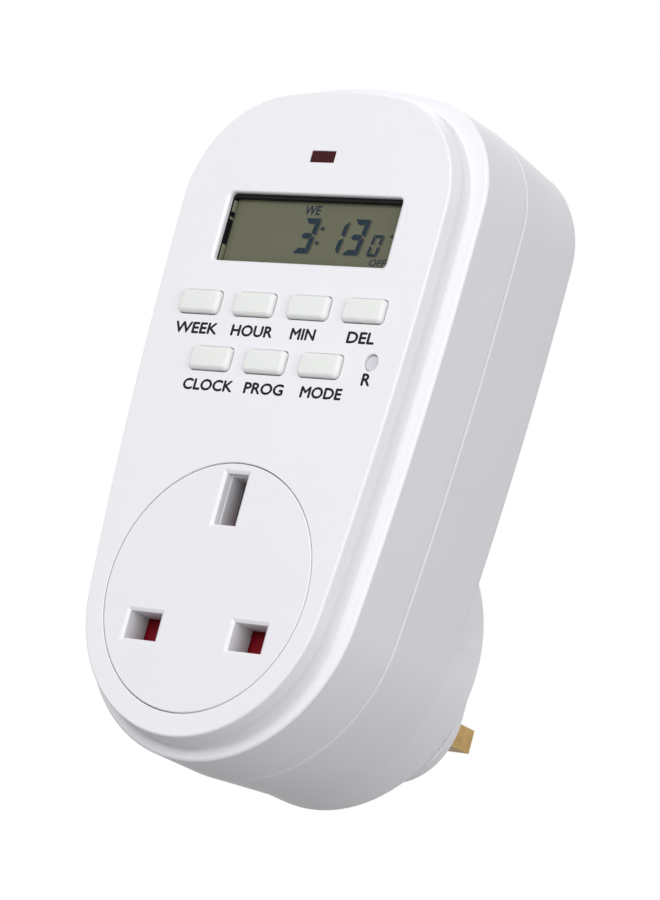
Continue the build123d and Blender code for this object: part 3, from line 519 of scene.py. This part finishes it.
# Painted shade: the black strip along the glass's left edge, where the gap under the window wall lies in
# shadow.
EDGE_SHADE_PAINT = Ink("display_edge_shade", (0.012, 0.012, 0.012), roughness=0.4)
MARK_INK = Ink("edge_mark", (0.22, 0.22, 0.155), roughness=0.5)
LEGEND_INK = Ink("legend_ink", (0.008, 0.008, 0.010))
LENS_RED = TintedLens("lens_red", (0.030, 0.003, 0.005), (0.070, 0.006, 0.009))

NODE_FINISHES: dict[Finish, tuple[str, ...]] = {
    SHUTTER_RED: ("shutter",),
    SLEEVE_BLACK: ("sleeve_live", "sleeve_neutral"),
    BLACK: ("lcd_frame", "processor", "board_link"),
    NYLON: ("lcd_holder",),
    BLOCK_GREY: ("contact_block",),
    RELAY_BLUE: ("relay",),
    FILM_YELLOW: ("film_capacitor",),
    SLEEVE_SHRUNK: ("smoothing_capacitor",),
    DIPPED_BLUE: ("varistor",),
    SILICONE: ("key_mat",),
    ZEBRA: ("zebra_strip",),
    EPOXY_RED: ("led",),
    PIN_BRASS: ("pin_live", "pin_neutral", "pin_earth"),
    CLIP_BRASS: tuple(
        [f"contact_{pole}" for pole in ("live", "neutral", "earth")]
        + [f"busbar_{pole}" for pole in ("live_in", "live_out", "neutral", "earth")]
    ),
    SPRING_STEEL: ("backup_cell", "crystal"),
    SCREW_STEEL: ("insert_screws", "board_screws", "power_board_screws"),
    BOARD_GREEN: ("power_board", "display_board"),
    GLASS: ("lcd_panel",),
    LENS_RED: ("led_lens",),
}


# ------------------------------------------------------------------ mesh helpers
def nothing_selected() -> None:
    """Leave object mode's selection empty."""
    for item in bpy.context.selected_objects:
        item.select_set(False)


def only(piece: bpy.types.Object) -> None:
    """Select and activate one object alone.

    Args:
        piece: The object.
    """
    nothing_selected()
    piece.select_set(True)
    bpy.context.view_layer.objects.active = piece


def joined(parts: Sequence[bpy.types.Object], name: str) -> bpy.types.Object:
    """Join objects into one mesh whose own place is the origin.

    Args:
        parts: Mesh objects, at least one.
        name: Name of the whole.

    Returns:
        The joined object.
    """
    only(parts[0])
    for part in parts:
        part.select_set(True)
    if len(parts) > 1:
        bpy.ops.object.join()
    bpy.ops.object.transform_apply(location=True, rotation=True, scale=True)
    whole = bpy.context.view_layer.objects.active
    whole.name = name
    return whole


def copied(node: str, name: str) -> bpy.types.Object:
    """Copy a frame node, merged, with its flat faces whole again.

    Args:
        node: Name of the frame node.
        name: Name of the copy.

    Returns:
        The copy, selected alone.
    """
    piece = bpy.data.objects.new(name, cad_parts[node].data.copy())
    bpy.context.scene.collection.objects.link(piece)
    only(piece)
    bpy.ops.mesh.customdata_custom_splitnormals_clear()
    bpy.ops.object.mode_set(mode="EDIT")
    bpy.ops.mesh.select_all(action="SELECT")
    bpy.ops.mesh.remove_doubles(threshold=MERGE)
    bpy.ops.mesh.dissolve_limited(angle_limit=math.radians(FLAT_ANGLE))
    bpy.ops.object.mode_set(mode="OBJECT")
    return piece


def repeated(piece: bpy.types.Object, move: Sequence[float]) -> bpy.types.Object:
    """Copy a piece with its own mesh.

    Args:
        piece: Mesh object.
        move: How far the copy is moved along each axis.

    Returns:
        The copy.
    """
    copy = bpy.data.objects.new(piece.name, piece.data.copy())
    bpy.context.scene.collection.objects.link(copy)
    copy.data.transform(Matrix.Translation(move))
    return copy


def extent(piece: bpy.types.Object) -> tuple[Vector, Vector]:
    """Lowest and highest corners of a piece's mesh."""
    sides = list(zip(*(vertex.co for vertex in piece.data.vertices)))
    return Vector([min(side) for side in sides]), Vector([max(side) for side in sides])


def softened(
    piece: bpy.types.Object, radius: float, segments: int = 2, angle: float = EDGE_ANGLE
) -> bpy.types.Object:
    """Round every edge of a piece that turns by more than an angle.

    Args:
        piece: Merged mesh object.
        radius: Width of the rounding, in metres.
        segments: Faces across the rounding.
        angle: Least turn in degrees.

    Returns:
        The same piece.
    """
    only(piece)
    edge = piece.modifiers.new("soft_edges", "BEVEL")
    edge.segments = segments
    edge.use_clamp_overlap = False
    edge.width = radius
    edge.limit_method = "ANGLE"
    edge.angle_limit = math.radians(angle)
    bpy.ops.object.modifier_apply(modifier=edge.name)
    return piece


def combined(piece: bpy.types.Object, tool: bpy.types.Object, operation: str) -> None:
    """Unite a piece with a tool, or cut it by the tool, which is then deleted.

    Args:
        piece: Closed mesh object that is kept.
        tool: Closed mesh object that is used up.
        operation: UNION or DIFFERENCE.
    """
    only(piece)
    step = piece.modifiers.new("combine", "BOOLEAN")
    step.operation = operation
    step.solver = "EXACT"
    step.object = tool
    bpy.ops.object.modifier_apply(modifier=step.name)
    bpy.data.objects.remove(tool)


def pick_faces(piece: bpy.types.Object, wanted: Callable[[bpy.types.MeshPolygon], bool]) -> None:
    """Enter edit mode with only the wanted faces selected.

    Args:
        piece: Mesh object.
        wanted: Says of a face whether it is selected.
    """
    only(piece)
    bpy.ops.object.mode_set(mode="EDIT")
    bpy.ops.mesh.select_mode(type="FACE")
    bpy.ops.mesh.select_all(action="DESELECT")
    bpy.ops.object.mode_set(mode="OBJECT")
    for face in piece.data.polygons:
        face.select = wanted(face)
    bpy.ops.object.mode_set(mode="EDIT")


def creased(piece: bpy.types.Object, planes: Sequence[float]) -> None:
    """Keep the edges that lie in given planes crisp.

    Args:
        piece: Smoothly shaded mesh object.
        planes: Planes of Y.
    """
    corners = piece.data.vertices
    for edge in piece.data.edges:
        ends = [corners[corner].co.y for corner in edge.vertices]
        if any(max(abs(end - plane) for end in ends) < NEAR for plane in planes):
            edge.use_edge_sharp = True


def dressed(
    piece: bpy.types.Object,
    finish: Finish,
    body: Body,
    smooth: float | None = None,
    creases: Sequence[float] = (),
) -> bpy.types.Object:
    """Give a finished piece its material and the body it rides on.

    Args:
        piece: Mesh object at its final place.
        finish: Finish whose material it takes.
        body: Body that carries it.
        smooth: Angle in degrees under which its edges are shaded smooth.
        creases: Planes of Y whose edges stay crisp whatever their angle.

    Returns:
        The same piece.
    """
    piece.data.materials.clear()
    piece.data.materials.append(finish.material())
    if smooth is not None:
        only(piece)
        bpy.ops.object.shade_smooth_by_angle(angle=math.radians(smooth))
        creased(piece, creases)
        even = piece.modifiers.new("even_shading", "WEIGHTED_NORMAL")
        even.keep_sharp = True
        even.weight = FACE_WEIGHT
        bpy.ops.object.modifier_apply(modifier=even.name)
    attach(piece, body.value)
    log.info("%s: %d faces, rides on %s", piece.name, len(piece.data.polygons), body.value)
    return piece


def lettering(
    text: str,
    low: tuple[float, float],
    high: tuple[float, float],
    y: float,
    spread: float,
    depth: float,
    slant: float = 0.0,
) -> bpy.types.Object:
    """Make thin bold lettering that fills a box on a plane facing the front.

    Args:
        text: Letters.
        low: Lowest x and z of the letters, in metres.
        high: Highest x and z.
        y: Plane that the letters stand on.
        spread: How far every stroke grows on each side, in metres.
        depth: Height of the ink over its plane.
        slant: Sideways lean, as a share of the height.

    Returns:
        The mesh, closed, with its place applied.
    """
    bpy.ops.object.text_add()
    writing = bpy.context.active_object
    writing.data.body = text
    writing.data.extrude = LETTER_BODY
    writing.data.resolution_u = LETTER_CURVE
    only(writing)
    bpy.ops.object.convert(target="MESH")
    writing = bpy.context.active_object
    bpy.ops.object.mode_set(mode="EDIT")
    bpy.ops.mesh.select_all(action="SELECT")
    bpy.ops.mesh.remove_doubles(threshold=LETTER_MERGE)
    bpy.ops.object.mode_set(mode="OBJECT")
    start, end = extent(writing)
    wide = (high[0] - low[0] - slant * (high[1] - low[1]) - 2 * spread) / (end.x - start.x)
    tall = (high[1] - low[1] - 2 * spread) / (end.y - start.y)
    for vertex in writing.data.vertices:
        corner = vertex.co
        height = (corner.y - start.y) * tall
        across = low[0] + spread + (corner.x - start.x) * wide + slant * height
        corner.xyz = (across, y - depth if corner.z > 0 else y, low[1] + spread + height)
    shifts = [(spread, 0, 0), (-spread, 0, 0), (0, 0, spread), (0, 0, -spread)]
    for copy in [repeated(writing, shift) for shift in shifts]:
        combined(writing, copy, "UNION")
    return writing


# ------------------------------------------------------------------ mouldings with soft edges
@dataclass
class Housing:
    """Two-part white housing and the round outlet face, each with its edges softly rounded.

    Depths are measured back from the raised face.
    """

    front_edge: float = 0.14 * MM
    rear_edge: float = 0.05 * MM
    outlet_edge: float = 0.07 * MM
    slot_reach: float = 20.3 * MM  # slots' farthest corners from the outlet's middle
    slot_apart: float = 3.0 * MM  # the earth slot is nearer to the middle plane, and the others farther
    slot_bevel: float = 0.22 * MM  # depth of the frame's own bevel round a slot
    mouth_widening: float = 0.04 * MM
    mouth_depth: float = 0.36 * MM
    wall_break: float = 2.1 * MM  # drafted part of the wall round the raised face
    rim_depth: float = 4.9 * MM  # raised face over its rim
    seam_depth: float = 16.0 * MM  # raised face to the seam
    seam_gap: float = 0.22 * MM
    window_sides: tuple[float, float] = (-18.9 * MM, 19.7 * MM)  # x on both sides of the display's window
    window_top: tuple[float, float] = (72.6 * MM, 73.85 * MM)  # z on both sides of its upper edge
    window_bevel: float = 0.55 * MM
    window_rise: float = 0.62 * MM  # of the window's upper edge behind its bevel
    bevel_rise: float = 0.30 * MM
    smooth: float = 45.0

    def _opened(self, shell: bpy.types.Object) -> None:
        """Draw the front shell back from the seam and give the window's upper wall its steep slope.

        Args:
            shell: Merged copy of the front shell.
        """
        left, right = self.window_sides
        low, high = self.window_top
        for vertex in shell.data.vertices:
            point = vertex.co
            depth = point.y - FACE
            if abs(depth - self.seam_depth) < NEAR:
                point.y -= self.seam_gap
            elif left < point.x < right and low < point.z < high and NEAR < depth < self.wall_break:
                point.z += self.window_rise
            elif left < point.x < right and low < point.z < high + self.window_bevel and depth < NEAR:
                point.z += self.bevel_rise

    def _widened(self, outlet: bpy.types.Object) -> None:
        """Widen and deepen the bevel round every slot.

        Args:
            outlet: Merged copy of the round insert.
        """
        low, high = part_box("socket_insert")
        middle = (low + high) / 2
        mouths: dict[int, list[Vector]] = {-1: [], 0: [], 1: []}
        for vertex in outlet.data.vertices:
            point = vertex.co
            reach = math.hypot(point.x - middle.x, point.z - middle.z)
            if point.y - low.y < self.slot_bevel + NEAR and reach < self.slot_reach:
                side = 0 if abs(point.x) < self.slot_apart else int(math.copysign(1, point.x))
                mouths[side].append(point)
        for corners in mouths.values():
            centre = sum(corners, Vector()) / len(corners)
            for point in corners:
                share = (point.y - low.y) / self.slot_bevel
                widening = self.mouth_widening * (1 - share)
                for axis in (0, 2):
                    point[axis] += math.copysign(widening, point[axis] - centre[axis])
                point.y = low.y + share * self.mouth_depth

    def build(self) -> None:
        """Round both shells and the outlet face."""
        front = copied("front_shell", "front_shell_moulding")
        self._opened(front)
        softened(front, self.front_edge)
        creases = [FACE + self.wall_break, FACE + self.rim_depth]
        dressed(front, CASING, Body.HOUSING, self.smooth, creases)
        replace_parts(front, "front_shell")
        rear = softened(copied("rear_shell", "rear_shell_moulding"), self.rear_edge)
        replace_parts(dressed(rear, CASING, Body.HOUSING, self.smooth), "rear_shell")
        outlet = copied("socket_insert", "outlet_face")
        self._widened(outlet)
        softened(outlet, self.outlet_edge)
        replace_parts(dressed(outlet, INSERT, Body.HOUSING, self.smooth), "socket_insert")


@dataclass
class Keypad:
    """Seven keys with softly crowned caps, each on its own body, and the recessed reset button."""

    keys: tuple[Body, ...] = tuple(body for body in Body if body.value.startswith("key_"))
    crown: float = 0.16 * MM
    crown_power: float = 3.5
    crown_cuts: tuple[float, ...] = (-0.75, -0.5, -0.25, 0.0, 0.25, 0.5, 0.75)  # shares of half the side
    crown_room: float = 0.4 * MM  # depth of the cap that moves with its crown
    key_edge: float = 0.20 * MM
    key_segments: int = 4
    button_edge: float = 0.10 * MM
    smooth: float = 50.0

    def _key(self, body: Body) -> None:
        """Make a key whose cap falls away gently towards its rim.

        Args:
            body: The key's body, which has its node's name.
        """
        node = body.value
        low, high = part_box(node)
        middle, half = (low + high) / 2, (high - low) / 2
        key = softened(copied(node, f"{node}_cap"), self.key_edge, self.key_segments)
        for axis in (0, 2):
            normal = [1.0 if place == axis else 0.0 for place in range(3)]
            for share in self.crown_cuts:
                pick_faces(key, lambda face: face.center.y < low.y + NEAR)
                cut = middle.copy()
                cut[axis] += share * half[axis]
                bpy.ops.mesh.bisect(plane_co=cut, plane_no=normal)
                bpy.ops.object.mode_set(mode="OBJECT")
        for vertex in key.data.vertices:
            point = vertex.co
            if point.y < low.y + self.crown_room:
                reach = max(abs(point[axis] - middle[axis]) / half[axis] for axis in (0, 2))
                point.y += self.crown * min(reach, 1.0) ** self.crown_power
        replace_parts(dressed(key, KEY_WHITE, body, self.smooth), node)

    def build(self) -> None:
        """Crown every key and round the reset button."""
        body = Body.RESET_BUTTON
        button = softened(copied(body.value, "reset_button_cap"), self.button_edge)
        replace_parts(dressed(button, BUTTON_GREY, body, self.smooth), body.value)
        for key in self.keys:
            self._key(key)


@dataclass
class ReturnSpring:
    """Coil under the shutter, which shortens as the shutter slides down on it; the copy keeps the frame's
    shape.
    """

    node: str = "shutter_spring"
    joint: str = "shutter_slide"
    travel: float = 5.2 * MM
    smooth: float = 50.0

    def build(self) -> None:
        """Dress a merged copy of the coil in place of its node, with a mesh of its own."""
        coil = copied(self.node, "shutter_coil")
        dressed(coil, SPRING_STEEL, Body.HOUSING, self.smooth)
        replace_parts(coil, self.node)
        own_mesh(coil)


@dataclass
class HousingScrews:
    """Pan-head screws with cross recesses, at the bottom of their wells in the back."""

    node: str = "housing_screws"
    shank_radius: float = 1.3 * MM
    head_radius: float = 2.1 * MM
    head_height: float = 1.7 * MM
    overlap: float = 0.34 * MM  # of the shank into the head
    recess_reach: float = 1.15 * MM
    recess_width: float = 0.6 * MM
    recess_depth: float = 1.1 * MM
    edge: float = 0.45 * MM
    edge_angle: float = 60.0
    head_segments: int = 4
    sides: int = 40
    smooth: float = 35.0

    def _barrel(self, radius: float, start: float, end: float) -> bpy.types.Object:
        """Make a cylinder along Y between two planes.

        Args:
            radius: Radius in metres.
            start: Plane of Y at one end.
            end: Plane of Y at the other end.

        Returns:
            The cylinder, its edges still sharp.
        """
        nothing_selected()
        bpy.ops.mesh.primitive_cylinder_add(
            vertices=self.sides,
            radius=radius,
            depth=end - start,
            location=(0, (start + end) / 2, 0),
            rotation=(math.pi / 2, 0, 0),
        )
        return joined([bpy.context.active_object], "barrel")

    def _screw(self, length: float) -> bpy.types.Object:
        """Make a screw whose head seats on Y = 0 and rises along +Y.

        Args:
            length: Length of the shank under the head.

        Returns:
            The screw as one closed mesh.
        """
        head = self._barrel(self.head_radius, 0, self.head_height)
        softened(head, self.edge, self.head_segments, self.edge_angle)
        reach, thin = self.recess_reach, self.recess_width / 2
        for width, height in ((reach, thin), (thin, reach)):
            nothing_selected()
            bpy.ops.mesh.primitive_cube_add(size=2.0, location=(0, self.head_height, 0))
            wing = bpy.context.active_object
            wing.scale = (width, self.recess_depth, height)
            combined(head, joined([wing], "wing"), "DIFFERENCE")
        shank = self._barrel(self.shank_radius, -length, self.overlap)
        combined(head, softened(shank, self.edge, angle=self.edge_angle), "UNION")
        return head

    def build(self) -> None:
        """Put one screw in the place of each solid of the node."""
        copied(self.node, "screw_blanks")
        bpy.ops.mesh.separate(type="LOOSE")
        blanks = list(bpy.context.selected_objects)
        places = [extent(blank) for blank in blanks]
        low, high = places[0]
        pattern = self._screw(high.y - low.y - self.head_height)
        screws = []
        for low, high in places:
            middle = (low + high) / 2
            screws.append(repeated(pattern, (middle.x, high.y - self.head_height, middle.z)))
        for spare in [*blanks, pattern]:
            bpy.data.objects.remove(spare)
        piece = joined(screws, "housing_screw_set")
        dressed(piece, SCREW_STEEL, Body.HOUSING, self.smooth)
        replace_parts(piece, self.node)


# ------------------------------------------------------------------ printed details
@dataclass(frozen=True)
class Legend:
    """One printed word: its letters and the box they fill, in millimetres of x and z."""

    text: str
    left: float
    right: float
    bottom: float
    top: float


@dataclass
class KeyLegends:
    """Plain function words printed on the face under the keys; rows and places are in millimetres."""

    ink_depth: float = 0.02 * MM
    spread: float = 0.09 * MM
    upper_row: tuple[float, float] = (49.5, 51.5)
    lower_row: tuple[float, float] = (39.9, 41.9)
    reset_row: tuple[float, float] = (42.6, 44.7)
    upper_words: tuple[tuple[str, float, float], ...] = (
        ("WEEK", -21.7, -12.5),
        ("HOUR", -9.5, -0.65),
        ("MIN", 3.15, 8.3),
        ("DEL", 14.95, 20.65),
    )
    lower_words: tuple[tuple[str, float, float], ...] = (
        ("CLOCK", -16.6, -5.9),
        ("PROG", -3.45, 4.85),
        ("MODE", 8.45, 17.0),
    )
    reset_word: tuple[str, float, float] = ("R", 20.2, 22.05)

    def words(self) -> Iterable[Legend]:
        """Set all words out in their rows.

        Yields:
            Each legend with its box.
        """
        rows = (
            (self.upper_row, self.upper_words),
            (self.lower_row, self.lower_words),
            (self.reset_row, (self.reset_word,)),
        )
        for row, words in rows:
            for word in words:
                yield Legend(*word, *row)

    def build(self) -> None:
        """Print every word on the front face."""
        for word in self.words():
            low, high = (word.left * MM, word.bottom * MM), (word.right * MM, word.top * MM)
            letters = lettering(word.text, low, high, FACE, self.spread, self.ink_depth)
            legend = joined([letters], f"legend_{word.text.lower()}")
            dressed(legend, LEGEND_INK, Body.HOUSING)


# Lit segments of the figures shown, named as on any seven-segment figure.
FIGURES: dict[str, str] = {"0": "abcdef", "1": "bc", "3": "abcdg"}


@dataclass(frozen=True)
class Bar:
    """One bar of the display, in millimetres of x and z."""

    x: float
    z: float
    length: float
    stroke: float
    upright: bool = False
    outer: int = 0  # side that lies on the figure's outline: 1 right or upper, -1 left or lower, 0 none
    inner_end: int = 0  # end at the figure's middle: 1 upper, -1 lower, 0 none


@dataclass
class Figure:
    """One seven-segment figure of the display, in millimetres of x and z."""

    value: str
    left: float
    bottom: float
    width: float
    height: float
    stroke: float

    def bars(self, gap: float) -> list[Bar]:
        """Lay out the lit bars.

        Args:
            gap: Room left between the ends of neighbouring bars.

        Returns:
            The bars in the order of their names.
        """
        tall = (self.height - self.stroke) / 2
        wide = self.width - self.stroke
        middle = self.left + self.width / 2
        right = self.left + self.width - self.stroke / 2
        left = self.left + self.stroke / 2
        rows = [self.bottom + self.stroke / 2 + tall * step for step in range(3)]
        halves = [(low + high) / 2 for low, high in zip(rows, rows[1:])]
        flat, upright = (wide - gap, self.stroke, False), (tall - gap, self.stroke, True)
        places = {
            "a": Bar(middle, rows[2], *flat, outer=1),
            "g": Bar(middle, rows[1], *flat),
            "d": Bar(middle, rows[0], *flat, outer=-1),
            "b": Bar(right, halves[1], *upright, outer=1, inner_end=-1),
            "c": Bar(right, halves[0], *upright, outer=1, inner_end=1),
            "f": Bar(left, halves[1], *upright, outer=-1, inner_end=-1),
            "e": Bar(left, halves[0], *upright, outer=-1, inner_end=1),
        }
        return [places[name] for name in FIGURES[self.value]]


@dataclass
class Display:
    """Liquid-crystal picture on the glass: time, seconds, weekday and state, with the painted shadow of each
    bar.

    Sizes without a unit are millimetres of x and z.
    """

    slant: float = 0.17
    film: float = 0.012 * MM
    bar_gap: float = 0.16
    tip: float = 0.46  # corner cut of a middle bar, as a share of its stroke
    cut: float = 0.08  # the same for an outer bar
    inner_mitre: float = 0.5  # how fast an outer bar shortens inwards, at the figure's middle
    outer_mitre: float = 0.95  # the same at the figure's corners
    # How far the painted shadows lie from their bars, in x and z.
    painted_shadow_shift: tuple[float, float] = (0.34, -0.16)
    figures: tuple[Figure, ...] = (
        Figure("3", -3.1, 64.95, 3.3, 6.1, 0.95),
        Figure("1", 3.2, 65.0, 3.2, 5.85, 0.85),
        Figure("3", 7.3, 65.0, 3.3, 6.2, 0.95),
        Figure("0", 12.4, 64.95, 2.1, 3.7, 0.48),
    )
    dots: tuple[Bar, ...] = (  # the colon's two, and the edge of the next figure
        Bar(1.5, 66.85, 0.8, 0.68),
        Bar(1.9, 69.35, 0.8, 0.68),
        Bar(16.9, 68.5, 1.2, 0.4),
    )
    # Painted shade along the glass's left edge, for the shadowed gap under the window wall.
    edge_shade: tuple[float, float, float, float] = (-17.75, 68.15, 0.6, 12.0)  # middle x and z, width, height
    marks: tuple[tuple[float, float, float, float], ...] = (
        (-17.7, 72.4, 0.28, 2.0),
        (-17.7, 64.2, 0.28, 3.0),
        (-17.72, 70.3, 0.2, 0.4),
    )
    mark_depth: float = 0.7 * MM
    mark_corner: float = 0.06
    mark_steps: int = 3
    weekday: Legend = Legend("WE", -2.9, 0.8, 71.6, 73.25)
    weekday_spread: float = 0.05 * MM
    state: Legend = Legend("OFF", 13.4, 17.0, 63.3, 64.5)
    state_spread: float = 0.025 * MM
    glass: float = field(init=False)  # plane of the glass

    def __post_init__(self) -> None:
        """Find the plane of the glass."""
        self.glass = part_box("lcd_panel")[0].y

    def _film(
        self,
        place: tuple[float, float, float, float],
        corner: float,
        steps: int = 1,
        layer: int = 0,
        depth: float | None = None,
    ) -> bpy.types.Object:
        """Make a flat patch with cut or rounded corners.

        Args:
            place: Middle x and z, width and height.
            corner: Size of the corner cut.
            steps: Edges across a corner.
            layer: How many films lie under it.
            depth: How far it stands on the glass, in metres, if it is more than a film.

        Returns:
            The patch, closed.
        """
        x, z, width, height = place
        nothing_selected()
        bpy.ops.mesh.primitive_plane_add(size=1.0, location=(0, 0, 0))
        patch = bpy.context.active_object
        patch.scale = (width * MM, height * MM, 1.0)
        bpy.ops.object.transform_apply(location=True, rotation=True, scale=True)
        bpy.ops.object.mode_set(mode="EDIT")
        bpy.ops.mesh.select_all(action="SELECT")
        bpy.ops.mesh.bevel(affect="VERTICES", offset=corner * MM, segments=steps)
        bpy.ops.mesh.select_all(action="SELECT")
        bpy.ops.mesh.extrude_region_move(TRANSFORM_OT_translate={"value": (0, 0, depth or self.film)})
        bpy.ops.mesh.select_all(action="SELECT")
        bpy.ops.mesh.normals_make_consistent(inside=False)
        bpy.ops.object.mode_set(mode="OBJECT")
        spot = Matrix.Translation((x * MM, self.glass - layer * self.film, z * MM))
        patch.data.transform(spot @ Matrix.Rotation(math.pi / 2, 4, "X"))
        return patch

    def _bar(self, bar: Bar, foot: float, shift: tuple[float, float], layer: int) -> bpy.types.Object:
        """Make a bar with mitred ends, longer on its outer side, that leans to the right above its foot.

        Args:
            bar: Place, size and sides of the bar.
            foot: Height at which the lean is nothing.
            shift: Move in x and z.
            layer: How many films lie under it.

        Returns:
            The bar.
        """
        width, height = (bar.stroke, bar.length) if bar.upright else (bar.length, bar.stroke)
        corner = bar.stroke * (self.cut if bar.outer else self.tip)
        piece = self._film((bar.x, bar.z, width, height), corner, layer=layer)
        middle = Vector((bar.x * MM, 0.0, bar.z * MM))
        half = 0.5 * bar.stroke * MM
        along, across = (2, 0) if bar.upright else (0, 2)
        for vertex in piece.data.vertices:
            point = vertex.co
            place = point - middle
            if bar.outer:
                inward = half - bar.outer * place[across]
                inner = place[along] * bar.inner_end > 0
                reach = -self.inner_mitre * inward if inner else half - self.outer_mitre * inward
                point[along] += reach if place[along] > 0 else -reach
            point.x += self.slant * (point.z - foot * MM) + shift[0] * MM
            point.z += shift[1] * MM
        return piece

    def _picture(self, name: str, finish: Finish, shift: tuple[float, float], layer: int) -> None:
        """Print all bars as one layer.

        Args:
            name: Name of the piece.
            finish: Its ink, or the dark tone of the painted shadows.
            shift: Move in x and z.
            layer: How many films lie under it.
        """
        placed = [(bar, figure.bottom) for figure in self.figures for bar in figure.bars(self.bar_gap)]
        placed += [(dot, dot.z) for dot in self.dots]
        parts = [self._bar(bar, foot, shift, layer) for bar, foot in placed]
        dressed(joined(parts, name), finish, Body.HOUSING)

    def _word(self, word: Legend, spread: float) -> None:
        """Print a small word on the glass.

        Args:
            word: Letters and their box.
            spread: How far every stroke grows on each side, in metres.
        """
        low, high = (word.left * MM, word.bottom * MM), (word.right * MM, word.top * MM)
        letters = lettering(word.text, low, high, self.glass, spread, self.film, self.slant)
        dressed(joined([letters], f"display_{word.text.lower()}"), SEGMENT_INK, Body.HOUSING)

    def build(self) -> None:
        """Lay the painted edge shade and its light notches, the painted shadows, the bars and the small words
        on the glass.
        """
        # The black strip is painted shade for the shadowed gap under the window's left wall.
        edge_shade = joined([self._film(self.edge_shade, self.mark_corner, self.mark_steps)], "display_edge_shade")
        notches = [
            self._film(mark, self.mark_corner, self.mark_steps, layer=1, depth=self.mark_depth)
            for mark in self.marks
        ]
        dressed(edge_shade, EDGE_SHADE_PAINT, Body.HOUSING)
        dressed(joined(notches, "display_notches"), MARK_INK, Body.HOUSING)
        # Painted shadows of the bars, offset to the right and down, lying under the bars themselves.
        self._picture("display_painted_shadows", BAR_SHADOW_PAINT, self.painted_shadow_shift, 0)
        self._picture("display_bars", SEGMENT_INK, (0.0, 0.0), 1)
        self._word(self.weekday, self.weekday_spread)
        self._word(self.state, self.state_spread)


# ------------------------------------------------------------------ finishes on the frame's own parts
@dataclass
class FrameFinishes:
    """Puts each frame node's material on it."""

    plan: Mapping[Finish, tuple[str, ...]] = field(default_factory=lambda: NODE_FINISHES)

    def apply(self) -> None:
        """Dress every node that stays in view."""
        for finish, names in self.plan.items():
            material = finish.material()
            for name in names:
                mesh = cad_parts[name].data
                mesh.materials.clear()
                mesh.materials.append(material)
                log.info("%s: %s", name, finish.name)


# ------------------------------------------------------------------ studio
@dataclass(frozen=True)
class Lamp:
    """Square soft lamp that looks at the middle of the object, in metres and watts."""

    name: str
    place: tuple[float, float, float]
    size: float
    power: float

    def build(self) -> None:
        """Hang the lamp and turn it to the object."""
        data = bpy.data.lights.new(self.name, "AREA")
        data.size = self.size
        data.energy = self.power
        lamp = bpy.data.objects.new(self.name, data)
        lamp.location = self.place
        middle = (CAD_LOW + CAD_HIGH) / 2
        lamp.rotation_euler = (middle - lamp.location).to_track_quat("-Z", "Y").to_euler()
        bpy.context.scene.collection.objects.link(lamp)


@dataclass
class Studio:
    """Camera, lamps, floor and sky of a plain product studio."""

    camera_place: tuple[float, float, float] = (0.474925, -0.570635, -0.119671)
    camera_turn: tuple[float, float, float] = (102.6405, -14.8225, 37.5528)  # degrees about X, Y and Z
    lens: float = 181.536  # millimetres, as the sensor's width
    sensor: float = 36.0
    floor_z: float = -0.5
    floor_size: float = 8.0
    floor_tone: float = 0.83
    floor_bounce: float = 0.42
    floor_roughness: float = 0.8
    fleck: float = 0.02
    fleck_tone: float = 0.97
    ambient: float = 0.43
    lamps: tuple[Lamp, ...] = (
        Lamp("key_lamp", (0.08, -1.15, 0.42), 0.7, 7.9),
        Lamp("fill_lamp", (1.15, -0.62, 0.06), 0.8, 6.4),
        Lamp("top_lamp", (-0.45, 0.45, 1.10), 0.7, 3.0),
    )

    def build(self) -> None:
        """Set the whole studio up."""
        self._camera()
        for lamp in self.lamps:
            lamp.build()
        self._floor()
        self._sky()
        bpy.context.scene.view_settings.view_transform = "Standard"

    def _camera(self) -> None:
        """Set the camera to a three-quarter view from slightly below."""
        data = bpy.data.cameras.new("camera")
        data.lens = self.lens
        data.sensor_width = self.sensor
        camera = bpy.data.objects.new("camera", data)
        camera.location = self.camera_place
        camera.rotation_euler = Euler([math.radians(angle) for angle in self.camera_turn], "XYZ")
        bpy.context.scene.collection.objects.link(camera)
        bpy.context.scene.camera = camera

    def _floor(self) -> None:
        """Lay a pale floor well below the object, which throws little light back up."""
        nothing_selected()
        bpy.ops.mesh.primitive_plane_add(size=self.floor_size, location=(0, 0, self.floor_z))
        floor = bpy.context.active_object
        floor.name = "floor"
        shop = MaterialShop("floor_paper")
        pale = (self.floor_tone,) * 3
        paper = shop.blend(shop.noise(self.fleck, 2.0), shaded(pale, self.fleck_tone), pale)
        shop.set(Base_Color=shop.blend(shop.seen(), (self.floor_bounce,) * 3, paper))
        shop.set(Roughness=self.floor_roughness)
        floor.data.materials.append(shop.material)

    def _sky(self) -> None:
        """Make a world that is white where it is seen or mirrored and softer where it lights."""
        world = bpy.data.worlds.new("studio_sky")
        world.use_nodes = True
        bpy.context.scene.world = world
        shop = NodeShop(world.node_tree)
        span = {"Value": shop.seen(), "To Min": self.ambient, "To Max": 1.0}
        strength = shop.make("ShaderNodeMapRange", None, span)
        back = shop.tree.nodes["Background"]
        shop.feed(back.inputs["Color"], (1.0, 1.0, 1.0))
        shop.feed(back.inputs["Strength"], strength.outputs["Result"])


def main() -> None:
    logging.basicConfig(level=logging.INFO, format="%(name)s %(message)s")
    Studio().build()
    FrameFinishes().apply()
    Housing().build()
    HousingScrews().build()
    ReturnSpring().build()
    Keypad().build()
    KeyLegends().build()
    Display().build()


if __name__ == "__main__":
    main()
